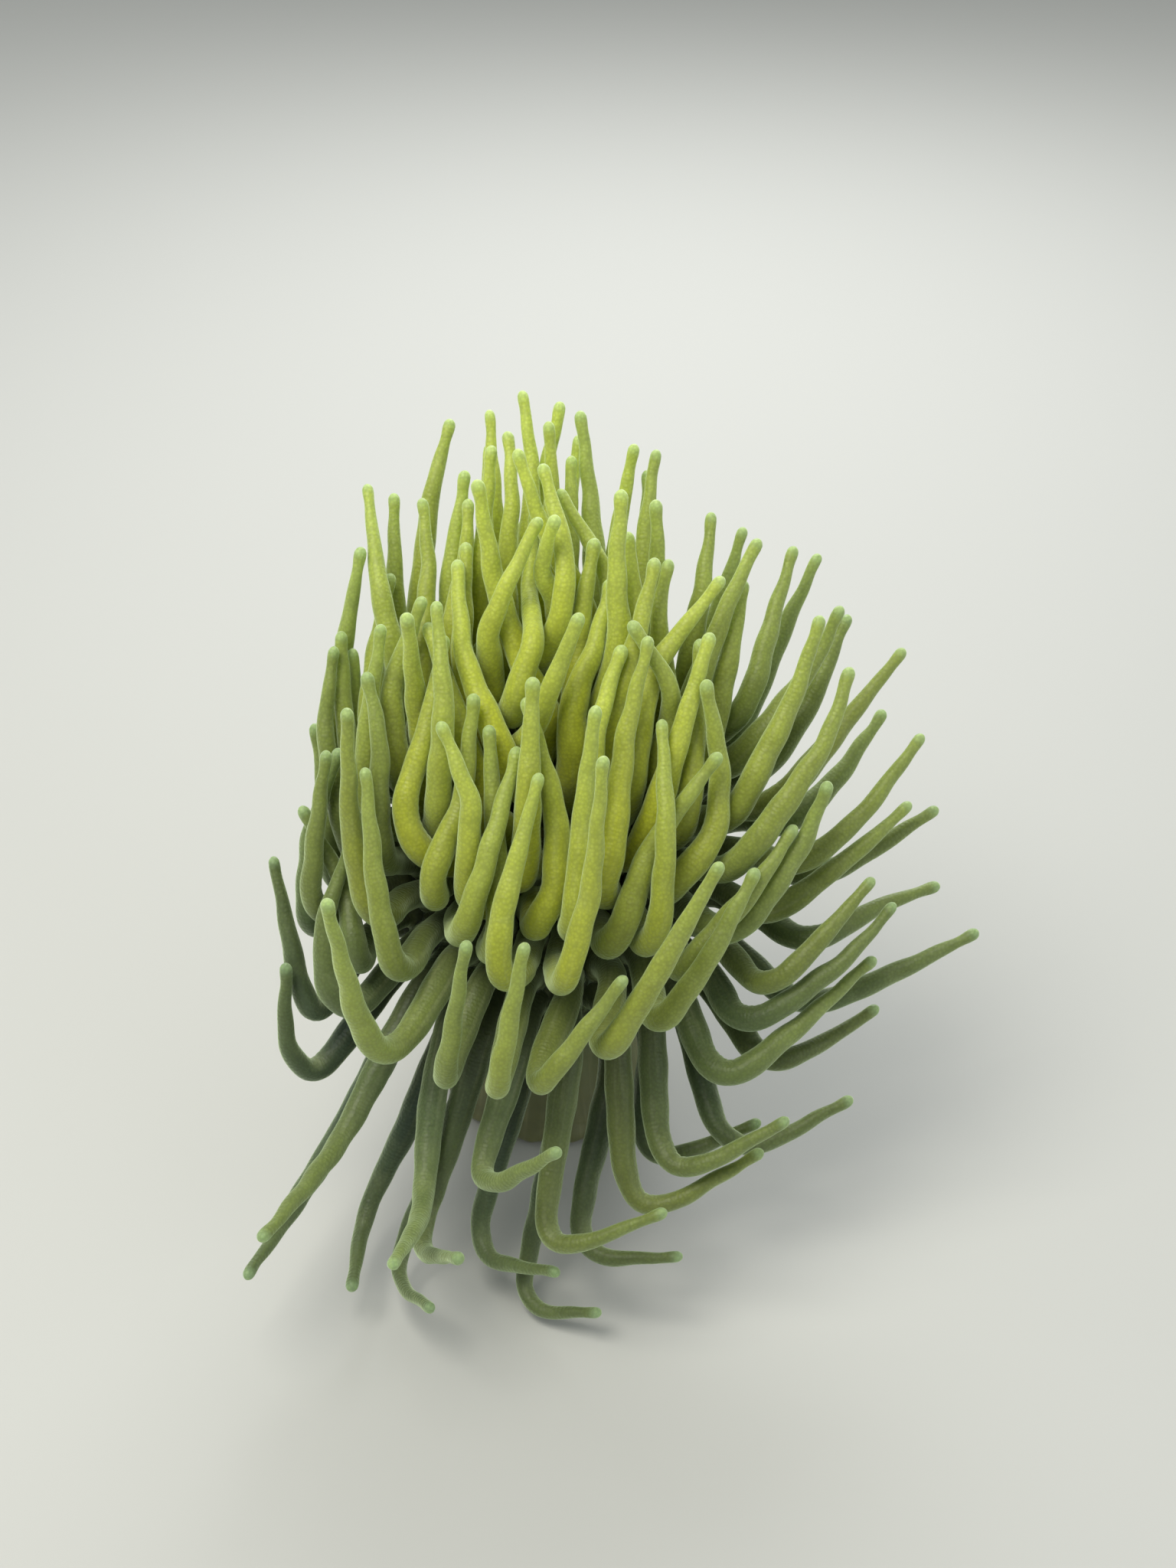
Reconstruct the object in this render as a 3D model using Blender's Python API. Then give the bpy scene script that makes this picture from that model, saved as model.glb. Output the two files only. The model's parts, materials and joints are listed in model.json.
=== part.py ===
"""A giant anemone at life size, standing on its pedal disc with its lowest tentacles hanging free.

The origin is the middle of the pedal disc's underside, +Z is up, and the animal leans and opens
towards -Y. The crown is a domed disc whose margin rolls over, with six rings of tentacles on it,
6, 12, 18, 24, 30 and 30 of them, as these animals add theirs in multiples of six.
"""

import math

import bmesh
import bpy
import numpy as np

MM = 0.001
GAP = 0.3 * MM
SPECK = 0.02 * MM

# Foot and column
FOOT_RADIUS = 43 * MM
FOOT_HEIGHT = 9 * MM
FOOT_EDGE = 2.5 * MM
FOOT_BULGE = 6 * MM
FOOT_TOP_RADIUS = 40 * MM
COLUMN_SHARES = (0, 0.2, 0.45, 0.7, 1)
COLUMN_RADII = (FOOT_TOP_RADIUS, 36.5 * MM, 35 * MM, 38 * MM, 44 * MM)
COLUMN_BEND = np.array([0, 5, 50]) * MM
COLUMN_SPLIT = 0.5
COLUMN_STEPS = 3
COLUMN_SIDES = 30

# Crown
DISC_CENTRE = np.array([0, -28, 132]) * MM
DISC_TILT = math.radians(38)
DISC_FLAT = 38 * MM
DISC_RISE = 3 * MM
ROLL = 20 * MM
CROWN_DEPTH = 2 * ROLL
CROWN_SIDES = 30
INNER_ARCS = (20 * MM, 30 * MM)
MARGIN_ANGLES = (30, 60, 90, 120, 150)
UNDERSIDE_RADIUS = 45 * MM
MOUTH_ZONE = 7.7 * MM
MOUTH_REACH = 8 * MM
INNER_ZONE = 40 * MM
WAVE = 4 * MM
WAVE_STARTS = 25 * MM
WAVE_SPREAD = 0.5
SECTORS = ("right", "back_right", "back_left", "left", "front_left", "front_right")

# Mouth
THROAT = ((0, -6 * MM), (2.2 * MM, -5 * MM), (3.4 * MM, DISC_RISE))
LIP_RADIUS = 4.4 * MM
LIP_THICKNESS = 1.8 * MM
LIP_NARROWING = 0.72
LIP_FOLDS = 6
LIP_PLEAT = 0.16
LIP_BED = 0.4 * LIP_THICKNESS
LIP_SIDES = 6
LIP_STEPS_PER_FOLD = 4

# Tentacles, in rings of 6, 12, 18, 24, 30 and 30
RING_ARCS = (14 * MM, 24 * MM, 33.5 * MM, 46 * MM, 56.5 * MM, 67 * MM)
RING_COUNTS = (6, 12, 18, 24, 30, 30)
RING_SHARES = (0.0, 0.08, 0.22, 0.42, 0.78, 1.0)
INNER_RINGS = 3
ROOT_STRAY = 0.4 * MM
ROOT_SUNK = 5 * MM
ROOT_NARROWING = 0.6
COLLAR = 6.3 * MM
ROOT_RADIUS = 5.2 * MM
THINNER_PER_RING = 0.025
THICKNESS_SHARES = (0.0, 0.1, 0.3, 0.5, 0.7, 0.88, 0.95, 1.0)
THICKNESSES = (1.0, 1.00, 1.05, 0.91, 0.72, 0.49, 0.42, 0.39)
TIP_ROUNDING = 0.6
TIP_END = 0.55
LENGTH_POINTS = 25
SEED = 13

# How one tentacle differs from the next
LENGTH_RANGE = (0.86, 1.10)
BEND_STRAY = 0.07
WAY_STRAY = 0.075
SWAY = 0.14
SWAY_TURN = 7
TIP_KINK = 0.35

# Where a tentacle turns, as shares of its length
NORMAL_UNTIL = 0.04
OUTWARD_AFTER = 0.16
BEND_SPREAD = 0.32
SWAY_AFTER = 0.4
KINK_FROM = 0.84
KINK_SPREAD = 0.06

# Outermost ring: azimuth, way out, way at the tip, share of the length at the bend, length in mm.
# Ways are given as right, up and towards a viewer in front, who looks down at VIEW_TILT.
VIEW_TILT = math.radians(35)
FLOW = (
    (0, (0.66, -0.20, 0.65), (0.78, 0.58, -0.05), 0.42, 104),
    (30, (0.34, 0.12, 0.82), (0.44, 0.88, 0.00), 0.38, 98),
    (60, (0.00, 0.45, 0.80), (0.04, 0.99, 0.03), 0.38, 108),
    (90, (0.05, 0.60, 0.70), (0.03, 0.99, 0.03), 0.42, 120),
    (120, (0.08, 0.58, 0.75), (0.08, 1.00, 0.03), 0.42, 120),
    (150, (0.15, 0.30, 0.90), (0.18, 1.00, 0.00), 0.38, 112),
    (180, (-0.10, -0.20, 0.90), (0.12, 1.00, 0.03), 0.36, 108),
    (200, (-0.40, -0.55, 0.65), (0.04, 1.00, 0.08), 0.42, 106),
    (216, (-0.48, -0.78, 0.35), (-0.05, 0.96, 0.15), 0.50, 106),
    (228, (-0.44, -0.88, 0.10), (-0.30, -0.60, 0.45), 0.66, 122),
    (252, (-0.34, -0.92, -0.20), (0.22, -0.14, 0.50), 0.76, 134),
    (280, (-0.20, -0.92, -0.15), (0.66, 0.22, 0.30), 0.72, 128),
    (305, (0.04, -0.88, 0.10), (0.86, 0.40, 0.10), 0.60, 114),
    (330, (0.42, -0.64, 0.52), (0.88, 0.44, 0.00), 0.50, 110),
)
# Innermost ring: the same eight numbers, each with what the right and the back of the disc add
INNER_FLOW = (
    (0.00, 0.14, 0.00), (-0.10, 0.00, 0.30), (0.85, 0.00, 0.00),
    (0.04, 0.08, 0.00), (0.98, 0.00, 0.00), (0.04, 0.00, 0.00),
    (0.34, 0.00, 0.02), (122, 0, -4),
)

# Settling: how the tentacles make room for each other
CLEARANCE = 1.0 * MM
SETTLE_ROUNDS = 240
SEARCH_MARGIN = 6 * MM
SEARCH_EVERY = 8
OWN_NEIGHBOURS = 5
EASING = 0.45
PULL_BACK = 0.04
PULL_FADES = 1.6
FIRM_POINTS = 2
COLUMN_GUARD = 0.75
FLOOR_PART = 0.8
STATIONS = 7
EVENNESS = 0.05
SAMPLES = 41
CORNER_SPREAD = 1.05
COLLAR_SHARE = 0.09
TUBE_CLEARANCE = 0.7 * MM
TUBE_ROUNDS = 120
LEAST_WEIGHT = 0.15

FLESH = {
    "pedal_disc": ((0.30, 0.26, 0.15, 1), 0.45),
    "column": ((0.33, 0.30, 0.17, 1), 0.45),
    "oral_disc": ((0.36, 0.40, 0.18, 1), 0.40),
    "mouth": ((0.45, 0.44, 0.26, 1), 0.35),
    "crown_inner": ((0.42, 0.47, 0.14, 1), 0.38),
    "crown_outer": ((0.33, 0.42, 0.20, 1), 0.38),
}

RIGHT = np.array([1.0, 0.0, 0.0])
BACK = np.array([0.0, math.cos(DISC_TILT), math.sin(DISC_TILT)])
OUT = np.array([0.0, -math.sin(DISC_TILT), math.cos(DISC_TILT)])
COLUMN_TOP = DISC_CENTRE - (CROWN_DEPTH + GAP) * OUT
VIEWER = np.array([
    (1.0, 0.0, 0.0),
    (0.0, math.sin(VIEW_TILT), math.cos(VIEW_TILT)),
    (0.0, -math.cos(VIEW_TILT), math.sin(VIEW_TILT)),
])


def smooth(share):
    share = np.clip(share, 0, 1)
    return share * share * (3 - 2 * share)


def unit(vectors):
    return vectors / np.linalg.norm(vectors, axis=-1, keepdims=True)


def middle_rise(across):
    """The disc's low swelling round the mouth."""
    return DISC_RISE * (1 + np.cos(math.pi * np.minimum(across, DISC_FLAT) / DISC_FLAT)) / 2


def crown_profile(arc):
    """Distance from the mouth's axis, and height over the disc's plane, at a way out from the mouth."""
    turn = np.clip((arc - DISC_FLAT) / ROLL, 0, math.pi)
    across = np.minimum(arc, DISC_FLAT) + ROLL * np.sin(turn)
    return across, middle_rise(arc) - ROLL * (1 - np.cos(turn))


def margin_lift(across, height, azimuth):
    """The margin's slow wave: nothing at the mouth or underneath, up to WAVE at the rim."""
    share = smooth((across - WAVE_STARTS) / (DISC_FLAT + ROLL - WAVE_STARTS))
    share = share * smooth((height + CROWN_DEPTH) / ROLL)
    return WAVE * share * (0.6 * np.sin(3 * azimuth + 0.6) + 0.4 * np.sin(5 * azimuth + 2.1))


def waved(across, height, azimuth):
    lift = margin_lift(across, height, azimuth)
    return across + WAVE_SPREAD * lift, height + lift


def from_disc(across, height, azimuth):
    """World points from places on the disc: distance from the axis, height and azimuth."""
    across, height, azimuth = np.broadcast_arrays(across, height, azimuth)
    return (
        DISC_CENTRE
        + (across * np.cos(azimuth))[..., None] * RIGHT
        + (across * np.sin(azimuth))[..., None] * BACK
        + height[..., None] * OUT
    )


def crown_point(arc, azimuth):
    across, height = crown_profile(arc)
    return from_disc(*waved(across, height, azimuth), azimuth)


def crown_normal(arc, azimuth, step=0.5 * MM, turn=0.025):
    along = crown_point(arc + step, azimuth) - crown_point(arc - step, azimuth)
    round_it = crown_point(arc, azimuth + turn) - crown_point(arc, azimuth - turn)
    return unit(np.cross(along, round_it))


def tentacle_roots(random):
    """Ring, sector, azimuth and way out of each root, clear of the lines between the sectors."""
    rows = []
    for ring, (arc, count) in enumerate(zip(RING_ARCS, RING_COUNTS)):
        across = crown_profile(arc)[0]
        for place in range(count):
            azimuth = 2 * math.pi * (place + 0.5) / count - math.pi / 6
            azimuth += random.uniform(-ROOT_STRAY, ROOT_STRAY) / across
            sector = len(SECTORS) * place // count
            rows.append((ring, sector, azimuth, arc + random.uniform(-ROOT_STRAY, ROOT_STRAY)))
    return rows


def flow_at(azimuth, share):
    """The ways, bend and length at an azimuth, from the inner rings' rule to the outermost ring's rows."""
    degrees = math.degrees(azimuth) % 360
    rows = [(row[0], *row[1], *row[2], row[3], row[4]) for row in FLOW]
    columns = np.array(rows).T
    outer = [np.interp(degrees, columns[0], column, period=360) for column in columns[1:]]
    across, up = math.cos(azimuth), math.sin(azimuth)
    inner = [middle + right * across + back * up for middle, right, back in INNER_FLOW]
    mixed = (1 - share) * np.array(inner) + share * np.array(outer)
    return mixed[0:3] @ VIEWER, mixed[3:6] @ VIEWER, mixed[6], mixed[7] * MM


def tentacle_forms():
    """Every tentacle's wished-for middle line, before they make room for each other."""
    random = np.random.default_rng(SEED)
    forms = []
    for ring, sector, azimuth, arc in tentacle_roots(random):
        start = crown_point(arc, azimuth)
        normal = crown_normal(arc, azimuth)
        way_out, way_up, bend, length = flow_at(azimuth, RING_SHARES[ring])
        length *= random.uniform(*LENGTH_RANGE)
        bend += random.uniform(-BEND_STRAY, BEND_STRAY)
        way_out = unit(way_out) + random.normal(0, WAY_STRAY, 3)
        way_up = unit(way_up) + random.normal(0, WAY_STRAY, 3)
        sway = unit(np.cross(way_up, random.normal(0, 1, 3)))
        phase = random.uniform(0, 2 * math.pi)
        kink = random.uniform(-TIP_KINK, TIP_KINK)
        share = (np.arange(LENGTH_POINTS - 1) + 0.5) / (LENGTH_POINTS - 1)
        leaving = (1 - smooth((share - NORMAL_UNTIL) / OUTWARD_AFTER))[:, None]
        lifted = smooth((share - bend) / BEND_SPREAD + 0.5)[:, None]
        ways = leaving * normal + (1 - leaving) * ((1 - lifted) * unit(way_out) + lifted * unit(way_up))
        ways = unit(ways)
        swing = SWAY * np.sin(SWAY_TURN * share + phase) * smooth(share / SWAY_AFTER)
        ways = ways + swing[:, None] * sway
        ways = unit(ways + (kink * smooth((share - KINK_FROM) / KINK_SPREAD))[:, None] * sway)
        line = start + np.vstack([np.zeros(3), np.cumsum(ways, axis=0)]) * length / (LENGTH_POINTS - 1)
        forms.append({"ring": ring, "sector": sector, "normal": normal, "line": line})
    return forms


def tentacle_radius(share, ring):
    """Radius along a tentacle: stout in the lower half, then an even taper to a blunt tip."""
    size = np.interp(share, THICKNESS_SHARES, THICKNESSES)
    return ROOT_RADIUS * (1 - THINNER_PER_RING * ring) * size


def close_pairs(points, reach):
    """Pairs of points, on different tentacles or far apart on one, that are within reach of each other."""
    count, steps, _ = points.shape
    flat = points.reshape(-1, 3)
    firsts, seconds = [], []
    for tentacle in range(count):
        here = flat[tentacle * steps:(tentacle + 1) * steps]
        rest = flat[tentacle * steps:]
        near = ((here[:, None] - rest[None]) ** 2).sum(-1) < reach * reach
        first, second = np.nonzero(near)
        apart = second - first > OWN_NEIGHBOURS
        firsts.append(first[apart] + tentacle * steps)
        seconds.append(second[apart] + tentacle * steps)
    return np.concatenate(firsts), np.concatenate(seconds)


def pushed_apart(points, radii, first, second, clearance):
    """One step of the tentacles' points away from those that they press on."""
    flat = points.reshape(-1, 3)
    need = radii.reshape(-1)[first] + radii.reshape(-1)[second] + clearance
    between = flat[second] - flat[first]
    apart = np.linalg.norm(between, axis=1)
    short = need - apart
    touching = short > 0
    push = between[touching] * (0.5 * short[touching] / np.maximum(apart[touching], 1e-6))[:, None]
    moved = np.zeros_like(flat)
    hits = np.zeros(len(flat))
    np.add.at(moved, first[touching], -push)
    np.add.at(moved, second[touching], push)
    np.add.at(hits, first[touching], 1)
    np.add.at(hits, second[touching], 1)
    return (moved / np.maximum(1, EASING * hits)[:, None]).reshape(points.shape)


def off_body(points, radii, clearance):
    """One step of the points out of the crown, the mouth, the column and the floor."""
    place = points - DISC_CENTRE
    height = place @ OUT
    flat_part = place - height[..., None] * OUT
    across = np.linalg.norm(flat_part, axis=-1)
    sideways = flat_part / np.maximum(across, 1e-6)[..., None]
    lift = margin_lift(across, height, np.arctan2(place @ BACK, place @ RIGHT))
    ring_out = np.maximum(across - WAVE_SPREAD * lift - DISC_FLAT, 0)
    ring_up = height - lift - middle_rise(across) + ROLL
    from_ring = np.sqrt(ring_out ** 2 + ring_up ** 2)
    short = np.maximum(ROLL + radii + clearance - from_ring, 0)
    share = (short / np.maximum(from_ring, 1e-6))[..., None]
    moved = share * (ring_out[..., None] * sideways + ring_up[..., None] * OUT)
    from_mouth = np.linalg.norm(place, axis=-1)
    short = np.maximum(MOUTH_REACH + radii + clearance - from_mouth, 0)
    moved += place * (short / np.maximum(from_mouth, 1e-6))[..., None]
    lean = COLUMN_TOP[1] / COLUMN_TOP[2] * points[..., 2]
    column = np.stack([points[..., 0], points[..., 1] - lean, np.zeros_like(lean)], axis=-1)
    reach = np.linalg.norm(column, axis=-1)
    beside = points[..., 2] < COLUMN_GUARD * COLUMN_TOP[2]
    low = beside * np.maximum(FOOT_RADIUS + radii + clearance - reach, 0)
    moved += column * (low / np.maximum(reach, 1e-6))[..., None]
    moved[..., 2] += np.maximum(FLOOR_PART * radii - points[..., 2] - moved[..., 2], 0)
    return moved


def settled(lines, radii):
    """The lines after the tentacles make room for each other, each keeping its length and its root."""
    points = lines.copy()
    wished = np.diff(lines, axis=1)
    step = np.linalg.norm(wished, axis=2)
    wished = unit(wished)
    free = smooth((np.arange(LENGTH_POINTS) - FIRM_POINTS) / (2 * FIRM_POINTS))[None, :, None]
    for turn in range(SETTLE_ROUNDS):
        if turn % SEARCH_EVERY == 0:
            first, second = close_pairs(points, 2 * ROOT_RADIUS + SEARCH_MARGIN)
        points += free * pushed_apart(points, radii, first, second, CLEARANCE)
        points += free * off_body(points, radii, CLEARANCE)
        strayed = unit(np.diff(points, axis=1)) - wished
        for _ in range(2):
            strayed[:, 1:-1] = 0.5 * strayed[:, 1:-1] + 0.25 * (strayed[:, :-2] + strayed[:, 2:])
            strayed[:, -1] = 0.5 * (strayed[:, -1] + strayed[:, -2])
        pull = PULL_BACK * max(0, 1 - PULL_FADES * turn / SETTLE_ROUNDS)
        ways = unit(wished + (1 - pull) * strayed)
        ways[:, :FIRM_POINTS] = wished[:, :FIRM_POINTS]
        points = np.concatenate([lines[:, :1], lines[:, :1] + np.cumsum(ways * step[..., None], axis=1)], 1)
    return points


def station_shares(line):
    """Shares of the length at a tube's corners, closer together where the tentacle bends.

    The first is a short straight collar over the root, so that no tube leans across its cell's edge.
    """
    ways = unit(np.diff(line, axis=0))
    bends = np.zeros(len(line))
    bends[1:-1] = np.linalg.norm(np.diff(ways, axis=0), axis=1)
    bends[2:-2] = (bends[1:-3] + bends[2:-2] + bends[3:-1]) / 3
    weight = np.cumsum(EVENNESS + bends)
    places = np.linspace(0, 1, len(line))
    collar = COLLAR / np.linalg.norm(np.diff(line, axis=0), axis=1).sum()
    first = np.interp(collar, places, weight)
    return np.interp(np.linspace(first, weight[-1], STATIONS), weight, places)


def between_stations(shares, places):
    """Weights that read points at some shares of the length from the points at the stations."""
    weights = np.empty((len(places), len(shares)))
    for station in range(len(shares)):
        single = np.zeros(len(shares))
        single[station] = 1
        weights[:, station] = np.interp(places, shares, single)
    return weights


def tubes_clear(corners, shares, rings):
    """The stations moved until straight lengths between them, as thick as the tubes, stand clear."""
    places = np.linspace(0, 1, SAMPLES)
    weights = np.array([between_stations(row, places) for row in shares])
    radii = CORNER_SPREAD * np.array([tentacle_radius(places, ring) for ring in rings])
    total = np.maximum(weights.sum(axis=1), 1e-6)[..., None]
    free = np.minimum(np.arange(STATIONS), 1)[None, :, None]
    corners = corners.copy()
    for turn in range(TUBE_ROUNDS):
        points = np.einsum("nsk,nkx->nsx", weights, corners)
        if turn % SEARCH_EVERY == 0:
            first, second = close_pairs(points, 2 * ROOT_RADIUS + SEARCH_MARGIN)
        moved = pushed_apart(points, radii, first, second, TUBE_CLEARANCE)
        moved += off_body(points, radii, TUBE_CLEARANCE) * (places > COLLAR_SHARE)[None, :, None]
        pressed = np.linalg.norm(moved, axis=2, keepdims=True) > 0
        share = np.einsum("nsk,nsx->nkx", weights, moved)
        count = np.einsum("nsk,nsx->nkx", weights ** 2, pressed.astype(float))
        corners += free * share / np.maximum(count, LEAST_WEIGHT * total)
    return corners


def tentacles():
    """The tentacles' rings, sectors and normals, with their stations' shares and points."""
    forms = tentacle_forms()
    places = np.linspace(0, 1, LENGTH_POINTS)
    rings = [form["ring"] for form in forms]
    radii = np.array([tentacle_radius(places, ring) for ring in rings])
    lines = settled(np.array([form["line"] for form in forms]), radii)
    shares = np.array([station_shares(line) for line in lines])
    corners = np.array([between_stations(places, row) @ line for row, line in zip(shares, lines)])
    corners = tubes_clear(corners, shares, rings)
    for form, row, points in zip(forms, shares, corners):
        form["shares"] = row
        form["points"] = points
    return forms


def material(name):
    colour, roughness = FLESH[name]
    made = bpy.data.materials.get(name) or bpy.data.materials.new(name)
    made.use_nodes = True
    shader = made.node_tree.nodes["Principled BSDF"]
    shader.inputs["Base Color"].default_value = colour
    shader.inputs["Roughness"].default_value = roughness
    shader.inputs["Metallic"].default_value = 0.0
    return made


def add_object(name, mesh, collection, finish=None):
    made = bpy.data.objects.new(name, mesh)
    collection.objects.link(made)
    if finish:
        mesh.materials.clear()
        mesh.materials.append(material(finish))
        mesh.shade_smooth()
        mesh.set_sharp_from_angle(angle=math.radians(50))
    return made


def mesh_from(name, shape):
    bmesh.ops.triangulate(shape, faces=shape.faces)
    bmesh.ops.recalc_face_normals(shape, faces=shape.faces)
    mesh = bpy.data.meshes.new(name)
    shape.to_mesh(mesh)
    shape.free()
    return mesh


def turned(profile, sides):
    """A bmesh turned once round the Z axis from points given as distance and height."""
    shape = bmesh.new()
    corners = [shape.verts.new((across, 0, height)) for across, height in profile]
    edges = [shape.edges.new(pair) for pair in zip(corners, corners[1:])]
    if profile[0][0] > 0:
        edges.append(shape.edges.new((corners[-1], corners[0])))
    bmesh.ops.spin(
        shape, geom=corners + edges, cent=(0, 0, 0), axis=(0, 0, 1),
        angle=2 * math.pi, steps=sides, use_merge=True,
    )
    bmesh.ops.remove_doubles(shape, verts=shape.verts, dist=0.00001)
    return shape


def onto_disc(shape):
    """Moves a shape turned round Z onto the disc's own axis, with the margin's wave."""
    for corner in shape.verts:
        x, y, height = corner.co
        azimuth = math.atan2(y, x)
        across, height = waved(math.hypot(x, y), height, azimuth)
        corner.co = from_disc(across, height, azimuth)


def disc_direction(azimuth):
    return math.cos(azimuth) * RIGHT + math.sin(azimuth) * BACK


def cut_to_sector(shape, sector):
    """Keeps one sixth of a ring, between two cuts that stand half a gap in from the sector's edges."""
    for side in (-1, 1):
        edge = math.radians(60 * sector + 30 * side)
        away = side * disc_direction(edge + math.pi / 2)
        point = DISC_CENTRE - away * GAP / 2
        cut = bmesh.ops.bisect_plane(
            shape, geom=shape.verts[:] + shape.edges[:] + shape.faces[:], dist=1e-7,
            plane_co=point, plane_no=away, clear_outer=True,
        )
        rim = [item for item in cut["geom_cut"] if isinstance(item, bmesh.types.BMEdge)]
        bmesh.ops.contextual_create(shape, geom=rim)


def inner_profile():
    first, last = MOUTH_ZONE + GAP / 2, INNER_ZONE - GAP / 2
    top = [crown_profile(arc) for arc in (first, *INNER_ARCS, last)]
    return [*top, (top[-1][0], -CROWN_DEPTH), (first, -CROWN_DEPTH)]


def outer_profile():
    turns = [DISC_FLAT + ROLL * math.radians(angle) for angle in MARGIN_ANGLES]
    top = [crown_profile(arc) for arc in (INNER_ZONE + GAP / 2, *turns)]
    return [*top, (UNDERSIDE_RADIUS, -CROWN_DEPTH), (top[0][0], -CROWN_DEPTH)]


def tentacle_tube(form, collection):
    """A tentacle as a six-sided tapering tube with a rounded tip, made a closed mesh."""
    shares, points = form["shares"], form["points"]
    radii = CORNER_SPREAD * tentacle_radius(shares, form["ring"])
    rounding = TIP_ROUNDING * radii[-1] * unit(points[-2] - points[-1])
    root = form["line"][0] - ROOT_SUNK * form["normal"]
    points = [root, *points[:-1], points[-1] + rounding, points[-1]]
    radii = [ROOT_NARROWING * radii[0], *radii[:-1], radii[-1], TIP_END * radii[-1]]
    curve = bpy.data.curves.new("tentacle", "CURVE")
    curve.dimensions = "3D"
    curve.bevel_depth = 1.0
    curve.bevel_resolution = 1
    curve.use_fill_caps = True
    spline = curve.splines.new("POLY")
    spline.points.add(len(points) - 1)
    for place, point, radius in zip(spline.points, points, radii):
        place.co = (*point, 1)
        place.radius = radius
    guide = bpy.data.objects.new("tentacle", curve)
    collection.objects.link(guide)
    bpy.context.view_layer.update()
    graph = bpy.context.evaluated_depsgraph_get()
    mesh = bpy.data.meshes.new_from_object(guide.evaluated_get(graph))
    bpy.data.objects.remove(guide)
    shape = bmesh.new()
    shape.from_mesh(mesh)
    bmesh.ops.remove_doubles(shape, verts=shape.verts, dist=1e-6)
    for corner in shape.verts:
        corner.co.z = max(corner.co.z, 0)
    bpy.data.meshes.remove(mesh)
    return add_object("tentacle", mesh_from("tentacle", shape), collection)


def largest_surface(mesh):
    """Merges the specks that a union leaves, and drops every closed surface of a mesh but the largest."""
    shape = bmesh.new()
    shape.from_mesh(mesh)
    bmesh.ops.triangulate(shape, faces=shape.faces)
    bmesh.ops.remove_doubles(shape, verts=shape.verts, dist=SPECK)
    left = set(shape.faces)
    groups = []
    while left:
        group, rim = set(), {left.pop()}
        while rim:
            group |= rim
            rim = {other for face in rim for edge in face.edges for other in edge.link_faces} - group
        left -= group
        groups.append(group)
    keep = max(groups, key=len)
    bmesh.ops.delete(shape, geom=[face for face in shape.faces if face not in keep], context="FACES")
    shape.to_mesh(mesh)
    shape.free()


def fused(body, pieces):
    """Joins a collection's closed meshes to the body in one union, and removes them."""
    union = body.modifiers.new("roots", "BOOLEAN")
    union.operation = "UNION"
    union.operand_type = "COLLECTION"
    union.collection = pieces
    union.solver = "MANIFOLD"
    bpy.context.view_layer.update()
    graph = bpy.context.evaluated_depsgraph_get()
    joined = bpy.data.meshes.new_from_object(body.evaluated_get(graph))
    body.modifiers.remove(union)
    body.data = joined
    for piece in list(pieces.objects):
        bpy.data.objects.remove(piece)
    largest_surface(joined)


def add_crown(collection, pieces):
    forms = tentacles()
    for zone, profile in (("inner", inner_profile()), ("outer", outer_profile())):
        for sector, place in enumerate(SECTORS):
            shape = turned(profile, CROWN_SIDES)
            onto_disc(shape)
            cut_to_sector(shape, sector)
            name = f"crown_{zone}_{place}"
            body = add_object(name, mesh_from(name, shape), collection, f"crown_{zone}")
            for form in forms:
                if form["sector"] == sector and (form["ring"] < INNER_RINGS) == (zone == "inner"):
                    tentacle_tube(form, pieces)
            fused(body, pieces)


def add_oral_disc(collection):
    rim = MOUTH_ZONE - GAP / 2
    shape = turned([*THROAT, crown_profile(rim), (rim, -CROWN_DEPTH), (0, -CROWN_DEPTH)], CROWN_SIDES)
    onto_disc(shape)
    add_object("oral_disc", mesh_from("oral_disc", shape), collection, "oral_disc")


def add_mouth(collection):
    """The lips: a narrow folded ring that lies on the middle of the oral disc."""
    shape = bmesh.new()
    rounds = LIP_STEPS_PER_FOLD * LIP_FOLDS
    lift = DISC_RISE + GAP + LIP_BED
    rings = []
    for turn in range(rounds):
        azimuth = 2 * math.pi * turn / rounds
        thickness = LIP_THICKNESS * (1 + LIP_PLEAT * math.cos(LIP_FOLDS * azimuth))
        ring = []
        for side in range(LIP_SIDES):
            angle = 2 * math.pi * side / LIP_SIDES
            across = LIP_RADIUS + thickness * math.cos(angle)
            height = max(thickness * math.sin(angle), -LIP_BED)
            x = across * math.cos(azimuth)
            y = LIP_NARROWING * across * math.sin(azimuth)
            ring.append(shape.verts.new(from_disc(math.hypot(x, y), height + lift, math.atan2(y, x))))
        rings.append(ring)
    for ring, after in zip(rings, rings[1:] + rings[:1]):
        for side in range(LIP_SIDES):
            later = (side + 1) % LIP_SIDES
            shape.faces.new((ring[side], ring[later], after[later], after[side]))
    add_object("mouth", mesh_from("mouth", shape), collection, "mouth")


def column_ring(share):
    """Middle, two directions across and radius of the column at a share of its height."""
    bottom = np.array([0, 0, FOOT_HEIGHT + GAP])
    middle = (1 - share) ** 2 * bottom + 2 * share * (1 - share) * COLUMN_BEND + share ** 2 * COLUMN_TOP
    tilt = DISC_TILT * share
    back = np.array([0, math.cos(tilt), math.sin(tilt)])
    return middle, back, np.interp(share, COLUMN_SHARES, COLUMN_RADII)


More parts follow.
